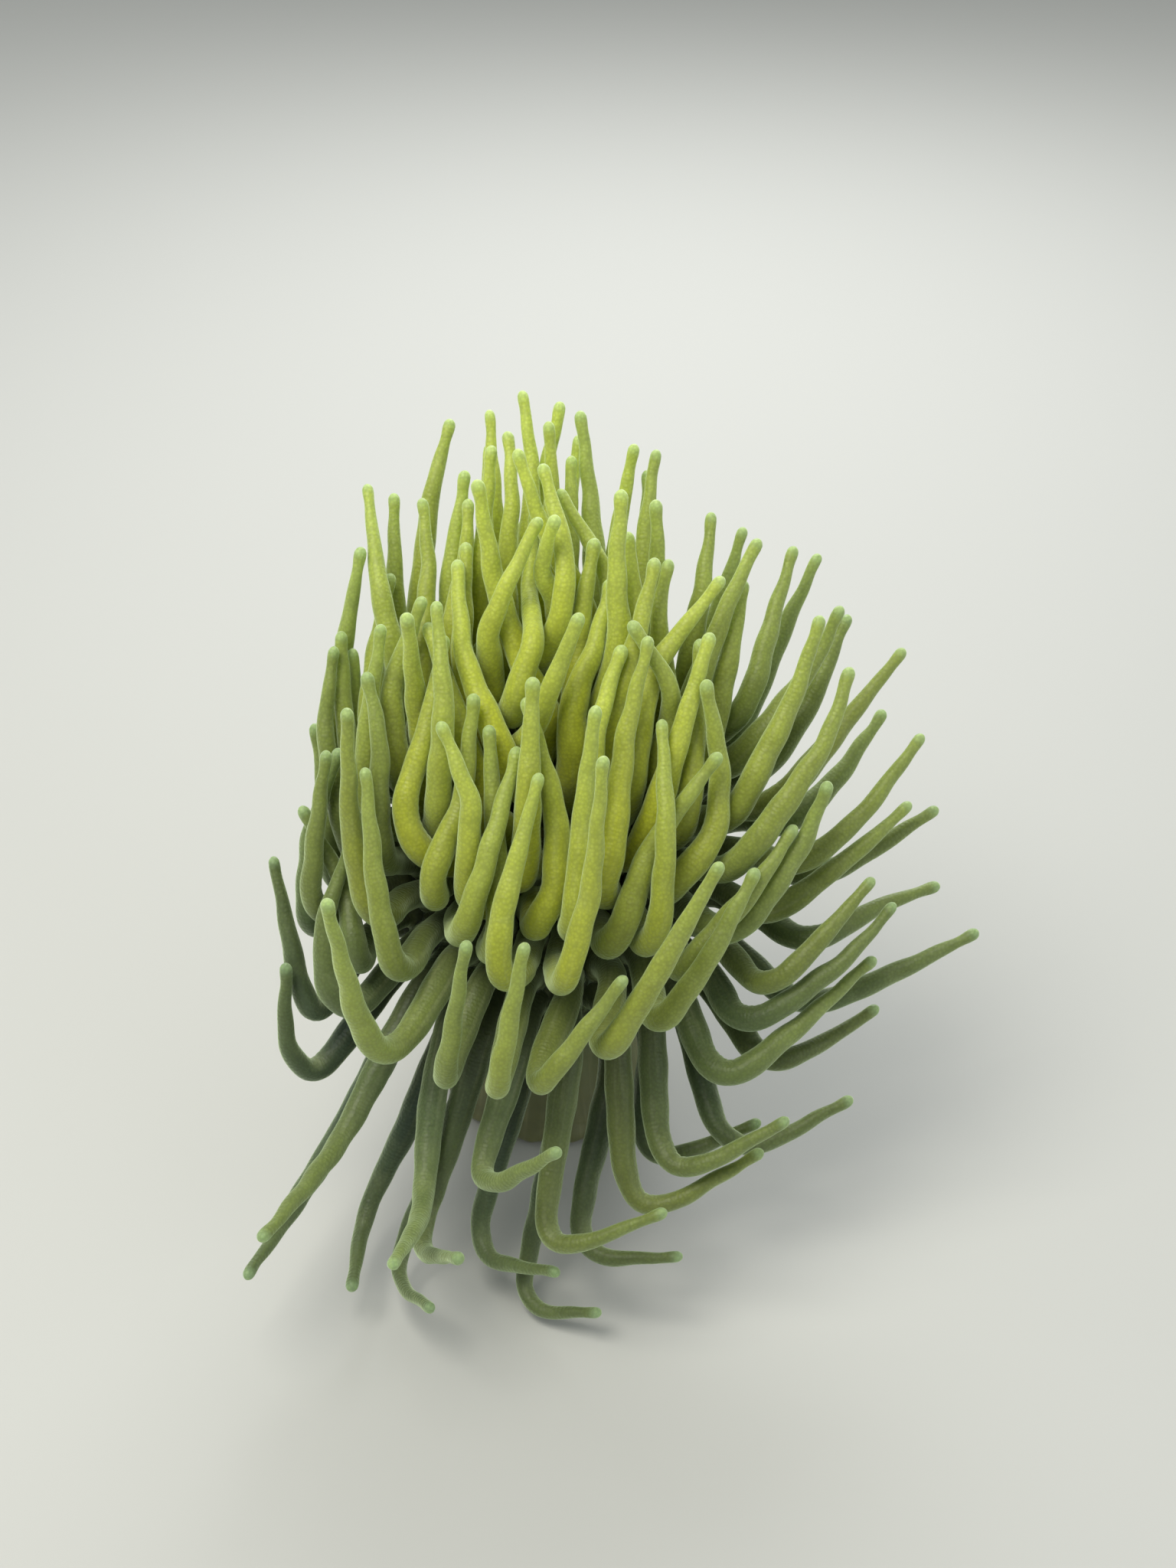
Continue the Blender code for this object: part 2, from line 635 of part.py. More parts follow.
def add_column(collection):
    for name, start, end in (("column_lower", 0, COLUMN_SPLIT), ("column_upper", COLUMN_SPLIT, 1)):
        shape = bmesh.new()
        rings = []
        for place in range(COLUMN_STEPS + 1):
            share = start + (end - start) * place / COLUMN_STEPS
            middle, back, radius = column_ring(share)
            if place == 0 and start > 0:
                middle = middle + GAP * np.cross(RIGHT, back)
            ring = []
            for side in range(COLUMN_SIDES):
                angle = 2 * math.pi * side / COLUMN_SIDES
                way = math.cos(angle) * RIGHT + math.sin(angle) * back
                ring.append(shape.verts.new(middle + radius * way))
            rings.append(ring)
        for ring, after in zip(rings, rings[1:]):
            for side in range(COLUMN_SIDES):
                later = (side + 1) % COLUMN_SIDES
                shape.faces.new((ring[side], ring[later], after[later], after[side]))
        shape.faces.new(rings[0][::-1])
        shape.faces.new(rings[-1])
        add_object(name, mesh_from(name, shape), collection, "column")


def add_foot(collection):
    side = [(FOOT_RADIUS - FOOT_EDGE, 0), (FOOT_RADIUS, FOOT_EDGE), (FOOT_RADIUS, FOOT_BULGE)]
    shape = turned([(0, 0), *side, (FOOT_TOP_RADIUS, FOOT_HEIGHT), (0, FOOT_HEIGHT)], COLUMN_SIDES)
    add_object("pedal_disc", mesh_from("pedal_disc", shape), collection, "pedal_disc")


def main():
    for old in list(bpy.data.objects):
        bpy.data.objects.remove(old)
    anemone = bpy.data.collections.new("sea_anemone")
    pieces = bpy.data.collections.new("tentacle_pieces")
    bpy.context.scene.collection.children.link(anemone)
    bpy.context.scene.collection.children.link(pieces)
    add_foot(anemone)
    add_column(anemone)
    add_oral_disc(anemone)
    add_mouth(anemone)
    add_crown(anemone, pieces)
    bpy.data.collections.remove(pieces)


if __name__ == "__main__":
    main()
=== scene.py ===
"""A giant anemone at life size, as a museum shows it: translucent living flesh on a pale studio floor.

One closed skin stands for every solid: the pedal disc, the column, the domed disc with its rolled margin
and its lips, and the tentacles, which are laid out by the same sizes and rules as in the solids.
"""

import json
import math
from functools import partial

import bpy
import numpy as np
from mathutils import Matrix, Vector

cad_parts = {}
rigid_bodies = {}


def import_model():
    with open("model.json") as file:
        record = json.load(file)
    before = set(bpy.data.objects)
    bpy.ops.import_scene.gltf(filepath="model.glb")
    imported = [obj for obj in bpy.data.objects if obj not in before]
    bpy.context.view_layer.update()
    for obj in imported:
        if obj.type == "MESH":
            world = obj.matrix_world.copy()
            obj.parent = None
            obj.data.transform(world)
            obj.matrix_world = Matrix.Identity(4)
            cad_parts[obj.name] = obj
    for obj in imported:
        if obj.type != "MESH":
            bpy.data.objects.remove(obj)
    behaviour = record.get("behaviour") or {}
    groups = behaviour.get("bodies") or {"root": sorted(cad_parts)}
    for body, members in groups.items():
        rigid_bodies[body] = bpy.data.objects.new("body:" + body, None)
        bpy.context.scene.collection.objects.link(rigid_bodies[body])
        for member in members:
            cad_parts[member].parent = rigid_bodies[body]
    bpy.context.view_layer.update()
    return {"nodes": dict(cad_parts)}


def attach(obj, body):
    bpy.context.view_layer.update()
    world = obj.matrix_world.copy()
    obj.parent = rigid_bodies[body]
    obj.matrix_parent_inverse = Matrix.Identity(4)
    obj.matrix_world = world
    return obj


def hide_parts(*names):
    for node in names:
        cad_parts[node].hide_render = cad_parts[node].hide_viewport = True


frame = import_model()

# Sizes shared with the solids
MM = 0.001
GAP = 0.3 * MM

# Foot and column
FOOT_RADIUS = 43 * MM
FOOT_HEIGHT = 9 * MM
FOOT_TOP_RADIUS = 40 * MM
COLUMN_SHARES = (0, 0.2, 0.45, 0.7, 1)
COLUMN_RADII = (FOOT_TOP_RADIUS, 36.5 * MM, 35 * MM, 38 * MM, 44 * MM)
COLUMN_BEND = np.array([0, 5, 50]) * MM
COLUMN_SMOOTHINGS = 50

# Crown
DISC_CENTRE = np.array([0, -28, 132]) * MM
DISC_TILT = math.radians(38)
DISC_FLAT = 38 * MM
DISC_RISE = 3 * MM
ROLL = 20 * MM
CROWN_DEPTH = 2 * ROLL
MOUTH_REACH = 8 * MM
WAVE = 4 * MM
WAVE_STARTS = 25 * MM
WAVE_SPREAD = 0.5
SECTORS = ("right", "back_right", "back_left", "left", "front_left", "front_right")

# Mouth
LIP_NARROWING = 0.72
LIP_FOLDS = 6

# Tentacles, in rings of 6, 12, 18, 24, 30 and 30
RING_ARCS = (14 * MM, 24 * MM, 33.5 * MM, 46 * MM, 56.5 * MM, 67 * MM)
RING_COUNTS = (6, 12, 18, 24, 30, 30)
RING_SHARES = (0.0, 0.08, 0.22, 0.42, 0.78, 1.0)
ROOT_STRAY = 0.4 * MM
COLLAR = 6.3 * MM
ROOT_RADIUS = 5.2 * MM
THINNER_PER_RING = 0.025
THICKNESS_SHARES = (0.0, 0.1, 0.3, 0.5, 0.7, 0.88, 0.95, 1.0)
THICKNESSES = (1.0, 1.00, 1.05, 0.91, 0.72, 0.49, 0.42, 0.39)
LENGTH_POINTS = 25
SEED = 13

# How one tentacle differs from the next
LENGTH_RANGE = (0.86, 1.10)
BEND_STRAY = 0.07
WAY_STRAY = 0.075
SWAY = 0.14
SWAY_TURN = 7
TIP_KINK = 0.35

# Where a tentacle turns, as shares of its length
NORMAL_UNTIL = 0.04
OUTWARD_AFTER = 0.16
BEND_SPREAD = 0.32
SWAY_AFTER = 0.4
KINK_FROM = 0.84
KINK_SPREAD = 0.06

# Outermost ring: azimuth, way out, way at the tip, share of the length at the bend, length in mm.
# Ways are given as right, up and towards a viewer in front, who looks down at VIEW_TILT.
VIEW_TILT = math.radians(35)
FLOW = (
    (0, (0.66, -0.20, 0.65), (0.78, 0.58, -0.05), 0.42, 104),
    (30, (0.34, 0.12, 0.82), (0.44, 0.88, 0.00), 0.38, 98),
    (60, (0.00, 0.45, 0.80), (0.04, 0.99, 0.03), 0.38, 108),
    (90, (0.05, 0.60, 0.70), (0.03, 0.99, 0.03), 0.42, 120),
    (120, (0.08, 0.58, 0.75), (0.08, 1.00, 0.03), 0.42, 120),
    (150, (0.15, 0.30, 0.90), (0.18, 1.00, 0.00), 0.38, 112),
    (180, (-0.10, -0.20, 0.90), (0.12, 1.00, 0.03), 0.36, 108),
    (200, (-0.40, -0.55, 0.65), (0.04, 1.00, 0.08), 0.42, 106),
    (216, (-0.48, -0.78, 0.35), (-0.05, 0.96, 0.15), 0.50, 106),
    (228, (-0.44, -0.88, 0.10), (-0.30, -0.60, 0.45), 0.66, 122),
    (252, (-0.34, -0.92, -0.20), (0.22, -0.14, 0.50), 0.76, 134),
    (280, (-0.20, -0.92, -0.15), (0.66, 0.22, 0.30), 0.72, 128),
    (305, (0.04, -0.88, 0.10), (0.86, 0.40, 0.10), 0.60, 114),
    (330, (0.42, -0.64, 0.52), (0.88, 0.44, 0.00), 0.50, 110),
)
# Innermost ring: the same eight numbers, each with what the right and the back of the disc add
INNER_FLOW = (
    (0.00, 0.14, 0.00), (-0.10, 0.00, 0.30), (0.85, 0.00, 0.00),
    (0.04, 0.08, 0.00), (0.98, 0.00, 0.00), (0.04, 0.00, 0.00),
    (0.34, 0.00, 0.02), (122, 0, -4),
)

# Settling: how the tentacles make room for each other
CLEARANCE = 1.0 * MM
SETTLE_ROUNDS = 240
SEARCH_MARGIN = 6 * MM
SEARCH_EVERY = 8
OWN_NEIGHBOURS = 5
EASING = 0.45
PULL_BACK = 0.04
PULL_FADES = 1.6
FIRM_POINTS = 2
COLUMN_GUARD = 0.75
FLOOR_PART = 0.8
STATIONS = 7
EVENNESS = 0.05
SAMPLES = 41
CORNER_SPREAD = 1.05
COLLAR_SHARE = 0.09
TUBE_CLEARANCE = 0.7 * MM
TUBE_ROUNDS = 120
LEAST_WEIGHT = 0.15

RIGHT = np.array([1.0, 0.0, 0.0])
BACK = np.array([0.0, math.cos(DISC_TILT), math.sin(DISC_TILT)])
OUT = np.array([0.0, -math.sin(DISC_TILT), math.cos(DISC_TILT)])
COLUMN_TOP = DISC_CENTRE - (CROWN_DEPTH + GAP) * OUT
VIEWER = np.array([
    (1.0, 0.0, 0.0),
    (0.0, math.sin(VIEW_TILT), math.cos(VIEW_TILT)),
    (0.0, -math.cos(VIEW_TILT), math.sin(VIEW_TILT)),
])

# Mesh of the body: points round it, and rings up the column, over the margin and across the disc
BODY_SIDES = 240
COLUMN_RINGS = 72
ROLL_RINGS = 28
DISC_RINGS = 24

# Mesh of a tentacle
LINE_POINTS = 49
DENSE_POINTS = 97
TENTACLE_SIDES = 24
TENTACLE_RINGS = 110
TIP_RINGS = 10
TIP_LENGTH = 1.2
ROOT_DEPTHS = (5 * MM, 2.6 * MM)
FLARE = 0.30
FLARE_REACH = 2.2 * MM

# The round bends that the skin has and the faceted solids lack, and the room that they need
ROUNDINGS = (14, 46)
SKIN_CLEARANCE = 0.9 * MM
SKIN_ROUNDS = 60
SKIN_FIRM_POINTS = 3
SKIN_FREE_AFTER = 5

# How the skin's thickness varies along a tentacle: swellings as depth and way along for one radian, the
# neck as way from the tip and width, and the tip's swelling as depth, way from the tip and width
PHASES = (0, 6)
THICKNESS_RANGE = (0.95, 1.06)
SLOW_SWELL = (0.035, 9 * MM)
QUICK_SWELL = (0.024, 2.3 * MM)
SWELLS_AFTER = 0.2
NECK_RANGE = (0.02, 0.09)
NECK = (8.5 * MM, 3.0 * MM)
TIP_SWELL = (0.12, 3.2 * MM, 2.6 * MM)
LEAST_TIP = 0.02
OVAL = 0.03
OVAL_RADIAN = 30 * MM

# How its line wavers: how far, way along for one radian, and the shares of its length where it sets in
WANDER = (0.22 * MM, 2.7 * MM)
WANDER_FROM = 0.35
WANDER_SPREAD = 0.3

# Ripples on the inner side of a bend
FOLD_SPACING = 3.4 * MM
FOLD_DEPTH = 0.055
FOLD_GAIN = 1.4
FOLD_FREE_RINGS = 4
LEAST_STEP = 0.05 * MM

# Pedal disc's side in mm, as distance from the middle and height, and the low frill at its edge
FOOT_SIDE = (
    (20, 0), (34, 0), (38.5, 0), (40.4, 0.2), (41.8, 0.9), (42.6, 2.1), (42.8, 3.6),
    (42.5, 5.2), (41.7, 6.9), (40.7, 8.2),
)
FOOT_SIDE_HEIGHT = 9
FRILL = 0.9 * MM
FRILL_FROM = 34
FRILL_SPREAD = 8

# Column's furrows, and the folds of its ring muscles
COLUMN_FURROWS = 24
FURROW_DEPTH = 0.40 * MM
RING_FOLDS = 34
RING_FOLD_DEPTH = 0.30 * MM

# Margin's skin, which starts underneath, outside the top of the column, and the flat of the disc
MARGIN_UNDER = math.radians(148)
MARGIN_CREASE = 0.25 * MM
FLAT_FROM = DISC_FLAT - 1 * MM
FLAT_UNTIL = 12 * MM

# Lips in mm, as distance from the mouth's middle and height over the swelling of the disc
LIP_SIDE = (
    (11.0, 0.0), (9.2, 0.15), (7.8, 0.7), (6.8, 1.7), (5.8, 2.4), (4.8, 2.3),
    (3.9, 1.3), (3.2, -0.3), (2.6, -2.4), (2.0, -4.6), (1.0, -6.2),
)
LIP_EDGE = 10
LIP_EDGE_SPREAD = 3
PLEAT_REACH = 0.07
PLEAT_LIFT = 0.12
THROAT_DEPTH = 0.3 * MM

# How far up the body each part of it goes, from 0 at the foot to 1 at the throat. The skin keeps this
# less 1, so the wall's material ends between the column and the margin
FOOT_RISE = 0.06
COLUMN_RISE = (0.08, 0.68)
MARGIN_RISE = (0.70, 0.90)
LIP_RISE = 0.92
WALL_UNTIL = -0.31

# Units of the ways that the skin keeps for its materials
TO_TIP_UNIT = 100 * MM
ALONG_UNIT = 10 * MM

# Tone of the flesh, each from 0 to 1: how yellow, how hanging and how light. Outer rings lack yellow, low
# on the crown, at its sides and at its back by different shares, but little at the upper left: partly the
# flesh's own colour and partly painted shade away from the light. Hanging tentacles get painted shade, and
# how light is painted light and shade
BODY_TONE = (0.3, 0, 0.5)
YELLOW_LOSS = 0.15
SIDED_LOSS = 0.85
SIDED_LOSS_POWER = 1.1
LOSS_EVERYWHERE = 0.05
LOSS_LOW = 0.6
LOSS_SIDE = 0.75
LOSS_BACK = 0.2
UPPER_LEFT_SPARED = 0.8
HANGING_POWERS = (3, 1.5)
HANGING_TURN = 0.45
# Painted light and shade: lighter at the back of the crown, painted shade at its sides and low down, and a
# random spread of it that is wider on the hanging tentacles
MIDDLE_LIGHT = 0.77
BACK_LIGHT = 0.22
SIDE_SHADE = 0.45
LOW_SHADE = 0.9
TONE_STRAY = 0.07
LIGHT_STRAY = 0.15

# The skin's map: a band for the body over rows of strips, one for each tentacle
MAP_COLUMNS = 24
MAP_ROWS = 5
MAP_ROW = 0.155
MAP_EDGE = 0.001

# Photograph's frame: its size in pixels, where the middle of the disc shows, and its scale there
PHOTO_WIDTH = 1536
PHOTO_HEIGHT = 2048
DISC_PIXEL = (718, 1105)
METRES_PER_PIXEL = 0.27 * MM
CAMERA_DISTANCE = 800 * MM
SENSOR = 36
FLOOR_HALF = 4.0


def linear(code):
    """The linear colour of an sRGB hex value."""
    parts = [int(code[start:start + 2], 16) / 255 for start in (1, 3, 5)]
    return (*(p / 12.92 if p <= 0.04045 else ((p + 0.055) / 1.055) ** 2.4 for p in parts), 1.0)


def add_node(tree, kind, options=(), values=(), links=()):
    """Adds a node with its options, its inputs' values and the nodes or sockets that feed its inputs."""
    made = tree.nodes.new(kind)
    for name, option in dict(options).items():
        setattr(made, name, option)
    for name, value in dict(values).items():
        made.inputs[name].default_value = value
    for name, source in dict(links).items():
        if isinstance(source, bpy.types.Node):
            source = next(socket for socket in source.outputs if socket.enabled)
        tree.links.new(source, made.inputs[name])
    return made


def smooth(share):
    """A share from 0 to 1 with a soft start and stop."""
    share = np.clip(share, 0, 1)
    return share * share * (3 - 2 * share)


def unit(vectors):
    return vectors / np.linalg.norm(vectors, axis=-1, keepdims=True)


def middle_rise(across):
    """The disc's low swelling round the mouth."""
    return DISC_RISE * (1 + np.cos(math.pi * np.minimum(across, DISC_FLAT) / DISC_FLAT)) / 2


def crown_profile(arc):
    """Distance from the mouth's axis, and height over the disc's plane, at a way out from the mouth."""
    turn = np.clip((arc - DISC_FLAT) / ROLL, 0, math.pi)
    across = np.minimum(arc, DISC_FLAT) + ROLL * np.sin(turn)
    return across, middle_rise(arc) - ROLL * (1 - np.cos(turn))


def margin_lift(across, height, azimuth):
    """The margin's slow wave: nothing at the mouth or underneath, up to WAVE at the rim."""
    share = smooth((across - WAVE_STARTS) / (DISC_FLAT + ROLL - WAVE_STARTS))
    share = share * smooth((height + CROWN_DEPTH) / ROLL)
    return WAVE * share * (0.6 * np.sin(3 * azimuth + 0.6) + 0.4 * np.sin(5 * azimuth + 2.1))


def waved(across, height, azimuth):
    """A place on the disc, moved by the margin's wave."""
    lift = margin_lift(across, height, azimuth)
    return across + WAVE_SPREAD * lift, height + lift


def from_disc(across, height, azimuth):
    """World points from places on the disc: distance from the axis, height and azimuth."""
    across, height, azimuth = np.broadcast_arrays(across, height, azimuth)
    return (
        DISC_CENTRE
        + (across * np.cos(azimuth))[..., None] * RIGHT
        + (across * np.sin(azimuth))[..., None] * BACK
        + height[..., None] * OUT
    )


def crown_point(arc, azimuth):
    across, height = crown_profile(arc)
    return from_disc(*waved(across, height, azimuth), azimuth)


def crown_normal(arc, azimuth, step=0.5 * MM, turn=0.025):
    along = crown_point(arc + step, azimuth) - crown_point(arc - step, azimuth)
    round_it = crown_point(arc, azimuth + turn) - crown_point(arc, azimuth - turn)
    return unit(np.cross(along, round_it))


def tentacle_roots(random):
    """Ring, sector, azimuth and way out of each root, clear of the lines between the sectors."""
    rows = []
    for ring, (arc, count) in enumerate(zip(RING_ARCS, RING_COUNTS)):
        across = crown_profile(arc)[0]
        for place in range(count):
            azimuth = 2 * math.pi * (place + 0.5) / count - math.pi / 6
            azimuth += random.uniform(-ROOT_STRAY, ROOT_STRAY) / across
            sector = len(SECTORS) * place // count
            rows.append((ring, sector, azimuth, arc + random.uniform(-ROOT_STRAY, ROOT_STRAY)))
    return rows


def flow_at(azimuth, share):
    """The ways, bend and length at an azimuth, from the inner rings' rule to the outermost ring's rows."""
    degrees = math.degrees(azimuth) % 360
    rows = [(row[0], *row[1], *row[2], row[3], row[4]) for row in FLOW]
    columns = np.array(rows).T
    outer = [np.interp(degrees, columns[0], column, period=360) for column in columns[1:]]
    across, up = math.cos(azimuth), math.sin(azimuth)
    inner = [middle + right * across + back * up for middle, right, back in INNER_FLOW]
    mixed = (1 - share) * np.array(inner) + share * np.array(outer)
    return mixed[0:3] @ VIEWER, mixed[3:6] @ VIEWER, mixed[6], mixed[7] * MM


def tentacle_forms():
    """Every tentacle's wished-for middle line, before they make room for each other."""
    random = np.random.default_rng(SEED)
    forms = []
    for ring, sector, azimuth, arc in tentacle_roots(random):
        start = crown_point(arc, azimuth)
        normal = crown_normal(arc, azimuth)
        way_out, way_up, bend, length = flow_at(azimuth, RING_SHARES[ring])
        length *= random.uniform(*LENGTH_RANGE)
        bend += random.uniform(-BEND_STRAY, BEND_STRAY)
        way_out = unit(way_out) + random.normal(0, WAY_STRAY, 3)
        way_up = unit(way_up) + random.normal(0, WAY_STRAY, 3)
        sway = unit(np.cross(way_up, random.normal(0, 1, 3)))
        phase = random.uniform(0, 2 * math.pi)
        kink = random.uniform(-TIP_KINK, TIP_KINK)
        share = (np.arange(LENGTH_POINTS - 1) + 0.5) / (LENGTH_POINTS - 1)
        leaving = (1 - smooth((share - NORMAL_UNTIL) / OUTWARD_AFTER))[:, None]
        lifted = smooth((share - bend) / BEND_SPREAD + 0.5)[:, None]
        ways = leaving * normal + (1 - leaving) * ((1 - lifted) * unit(way_out) + lifted * unit(way_up))
        ways = unit(ways)
        swing = SWAY * np.sin(SWAY_TURN * share + phase) * smooth(share / SWAY_AFTER)
        ways = ways + swing[:, None] * sway
        ways = unit(ways + (kink * smooth((share - KINK_FROM) / KINK_SPREAD))[:, None] * sway)
        line = start + np.vstack([np.zeros(3), np.cumsum(ways, axis=0)]) * length / (LENGTH_POINTS - 1)
        forms.append({"ring": ring, "sector": sector, "normal": normal, "line": line})
    return forms


def tentacle_radius(share, ring):
    """Radius along a tentacle: stout in the lower half, then an even taper to a blunt tip."""
    size = np.interp(share, THICKNESS_SHARES, THICKNESSES)
    return ROOT_RADIUS * (1 - THINNER_PER_RING * ring) * size


def close_pairs(points, reach):
    """Pairs of points, on different tentacles or far apart on one, that are within reach of each other."""
    count, steps, _ = points.shape
    flat = points.reshape(-1, 3)
    firsts, seconds = [], []
    for tentacle in range(count):
        here = flat[tentacle * steps:(tentacle + 1) * steps]
        rest = flat[tentacle * steps:]
        near = ((here[:, None] - rest[None]) ** 2).sum(-1) < reach * reach
        first, second = np.nonzero(near)
        apart = second - first > OWN_NEIGHBOURS
        firsts.append(first[apart] + tentacle * steps)
        seconds.append(second[apart] + tentacle * steps)
    return np.concatenate(firsts), np.concatenate(seconds)


def pushed_apart(points, radii, first, second, clearance):
    """One step of the tentacles' points away from those that they press on."""
    flat = points.reshape(-1, 3)
    need = radii.reshape(-1)[first] + radii.reshape(-1)[second] + clearance
    between = flat[second] - flat[first]
    apart = np.linalg.norm(between, axis=1)
    short = need - apart
    touching = short > 0
    push = between[touching] * (0.5 * short[touching] / np.maximum(apart[touching], 1e-6))[:, None]
    moved = np.zeros_like(flat)
    hits = np.zeros(len(flat))
    np.add.at(moved, first[touching], -push)
    np.add.at(moved, second[touching], push)
    np.add.at(hits, first[touching], 1)
    np.add.at(hits, second[touching], 1)
    return (moved / np.maximum(1, EASING * hits)[:, None]).reshape(points.shape)


def off_body(points, radii, clearance):
    """One step of the points out of the crown, the mouth, the column and the floor."""
    place = points - DISC_CENTRE
    height = place @ OUT
    flat_part = place - height[..., None] * OUT
    across = np.linalg.norm(flat_part, axis=-1)
    sideways = flat_part / np.maximum(across, 1e-6)[..., None]
    lift = margin_lift(across, height, np.arctan2(place @ BACK, place @ RIGHT))
    ring_out = np.maximum(across - WAVE_SPREAD * lift - DISC_FLAT, 0)
    ring_up = height - lift - middle_rise(across) + ROLL
    from_ring = np.sqrt(ring_out ** 2 + ring_up ** 2)
    short = np.maximum(ROLL + radii + clearance - from_ring, 0)
    share = (short / np.maximum(from_ring, 1e-6))[..., None]
    moved = share * (ring_out[..., None] * sideways + ring_up[..., None] * OUT)
    from_mouth = np.linalg.norm(place, axis=-1)
    short = np.maximum(MOUTH_REACH + radii + clearance - from_mouth, 0)
    moved += place * (short / np.maximum(from_mouth, 1e-6))[..., None]
    lean = COLUMN_TOP[1] / COLUMN_TOP[2] * points[..., 2]
    column = np.stack([points[..., 0], points[..., 1] - lean, np.zeros_like(lean)], axis=-1)
    reach = np.linalg.norm(column, axis=-1)
    beside = points[..., 2] < COLUMN_GUARD * COLUMN_TOP[2]
    low = beside * np.maximum(FOOT_RADIUS + radii + clearance - reach, 0)
    moved += column * (low / np.maximum(reach, 1e-6))[..., None]
    moved[..., 2] += np.maximum(FLOOR_PART * radii - points[..., 2] - moved[..., 2], 0)
    return moved


def settled(lines, radii):
    """The lines after the tentacles make room for each other, each keeping its length and its root."""
    points = lines.copy()
    wished = np.diff(lines, axis=1)
    step = np.linalg.norm(wished, axis=2)
    wished = unit(wished)
    free = smooth((np.arange(LENGTH_POINTS) - FIRM_POINTS) / (2 * FIRM_POINTS))[None, :, None]
    for turn in range(SETTLE_ROUNDS):
        if turn % SEARCH_EVERY == 0:
            first, second = close_pairs(points, 2 * ROOT_RADIUS + SEARCH_MARGIN)
        points += free * pushed_apart(points, radii, first, second, CLEARANCE)
        points += free * off_body(points, radii, CLEARANCE)
        strayed = unit(np.diff(points, axis=1)) - wished
        for _ in range(2):
            strayed[:, 1:-1] = 0.5 * strayed[:, 1:-1] + 0.25 * (strayed[:, :-2] + strayed[:, 2:])
            strayed[:, -1] = 0.5 * (strayed[:, -1] + strayed[:, -2])
        pull = PULL_BACK * max(0, 1 - PULL_FADES * turn / SETTLE_ROUNDS)
        ways = unit(wished + (1 - pull) * strayed)
        ways[:, :FIRM_POINTS] = wished[:, :FIRM_POINTS]
        points = np.concatenate([lines[:, :1], lines[:, :1] + np.cumsum(ways * step[..., None], axis=1)], 1)
    return points


def station_shares(line):
    """Shares of the length at a tube's corners, closer together where the tentacle bends.

    The first is a short straight collar over the root, so that no tube leans across its cell's edge.
    """
    ways = unit(np.diff(line, axis=0))
    bends = np.zeros(len(line))
    bends[1:-1] = np.linalg.norm(np.diff(ways, axis=0), axis=1)
    bends[2:-2] = (bends[1:-3] + bends[2:-2] + bends[3:-1]) / 3
    weight = np.cumsum(EVENNESS + bends)
    places = np.linspace(0, 1, len(line))
    collar = COLLAR / np.linalg.norm(np.diff(line, axis=0), axis=1).sum()
    first = np.interp(collar, places, weight)
    return np.interp(np.linspace(first, weight[-1], STATIONS), weight, places)


def between_stations(shares, places):
    """Weights that read points at some shares of the length from the points at the stations."""
    weights = np.empty((len(places), len(shares)))
    for station in range(len(shares)):
        single = np.zeros(len(shares))
        single[station] = 1
        weights[:, station] = np.interp(places, shares, single)
    return weights


def tubes_clear(corners, shares, rings):
    """The stations moved until straight lengths between them, as thick as the tubes, stand clear."""
    places = np.linspace(0, 1, SAMPLES)
    weights = np.array([between_stations(row, places) for row in shares])
    radii = CORNER_SPREAD * np.array([tentacle_radius(places, ring) for ring in rings])
    total = np.maximum(weights.sum(axis=1), 1e-6)[..., None]
    free = np.minimum(np.arange(STATIONS), 1)[None, :, None]
    corners = corners.copy()
    for turn in range(TUBE_ROUNDS):
        points = np.einsum("nsk,nkx->nsx", weights, corners)
        if turn % SEARCH_EVERY == 0:
            first, second = close_pairs(points, 2 * ROOT_RADIUS + SEARCH_MARGIN)
        moved = pushed_apart(points, radii, first, second, TUBE_CLEARANCE)
        moved += off_body(points, radii, TUBE_CLEARANCE) * (places > COLLAR_SHARE)[None, :, None]
        pressed = np.linalg.norm(moved, axis=2, keepdims=True) > 0
        share = np.einsum("nsk,nsx->nkx", weights, moved)
        count = np.einsum("nsk,nsx->nkx", weights ** 2, pressed.astype(float))
        corners += free * share / np.maximum(count, LEAST_WEIGHT * total)
    return corners


def evenly(points, count):
    """A line's points, spaced evenly along it."""
    steps = np.linalg.norm(np.diff(points, axis=0), axis=1)
    along = np.concatenate([[0], np.cumsum(steps)])
    places = np.linspace(0, along[-1], count)
    return np.stack([np.interp(places, along, axis) for axis in points.T], axis=1)


def rounded(points, passes):
    """A line through the stations with its corners rounded off, and its first lengths kept."""
    dense = evenly(points, DENSE_POINTS)
    for _ in range(passes):
        dense[4:-1] += 0.25 * (dense[3:-2] - 2 * dense[4:-1] + dense[5:])
    return evenly(dense, LINE_POINTS)


def stand_clear(lines, rings):
    """The lines after the round bends make the last room for each other."""
    places = np.linspace(0, 1, LINE_POINTS)
    radii = np.array([tentacle_radius(places, ring) for ring in rings])
    free = smooth((np.arange(LINE_POINTS) - SKIN_FIRM_POINTS) / SKIN_FREE_AFTER)[None, :, None]
    points = lines.copy()
    for turn in range(SKIN_ROUNDS):
        if turn % SEARCH_EVERY == 0:
            first, second = close_pairs(points, 2 * ROOT_RADIUS + SEARCH_MARGIN)
        points += free * pushed_apart(points, radii, first, second, SKIN_CLEARANCE)
        points += free * off_body(points, radii, SKIN_CLEARANCE)
        strayed = points - lines
        strayed[:, 1:-1] = 0.5 * strayed[:, 1:-1] + 0.25 * (strayed[:, :-2] + strayed[:, 2:])
        points = lines + strayed
    return points


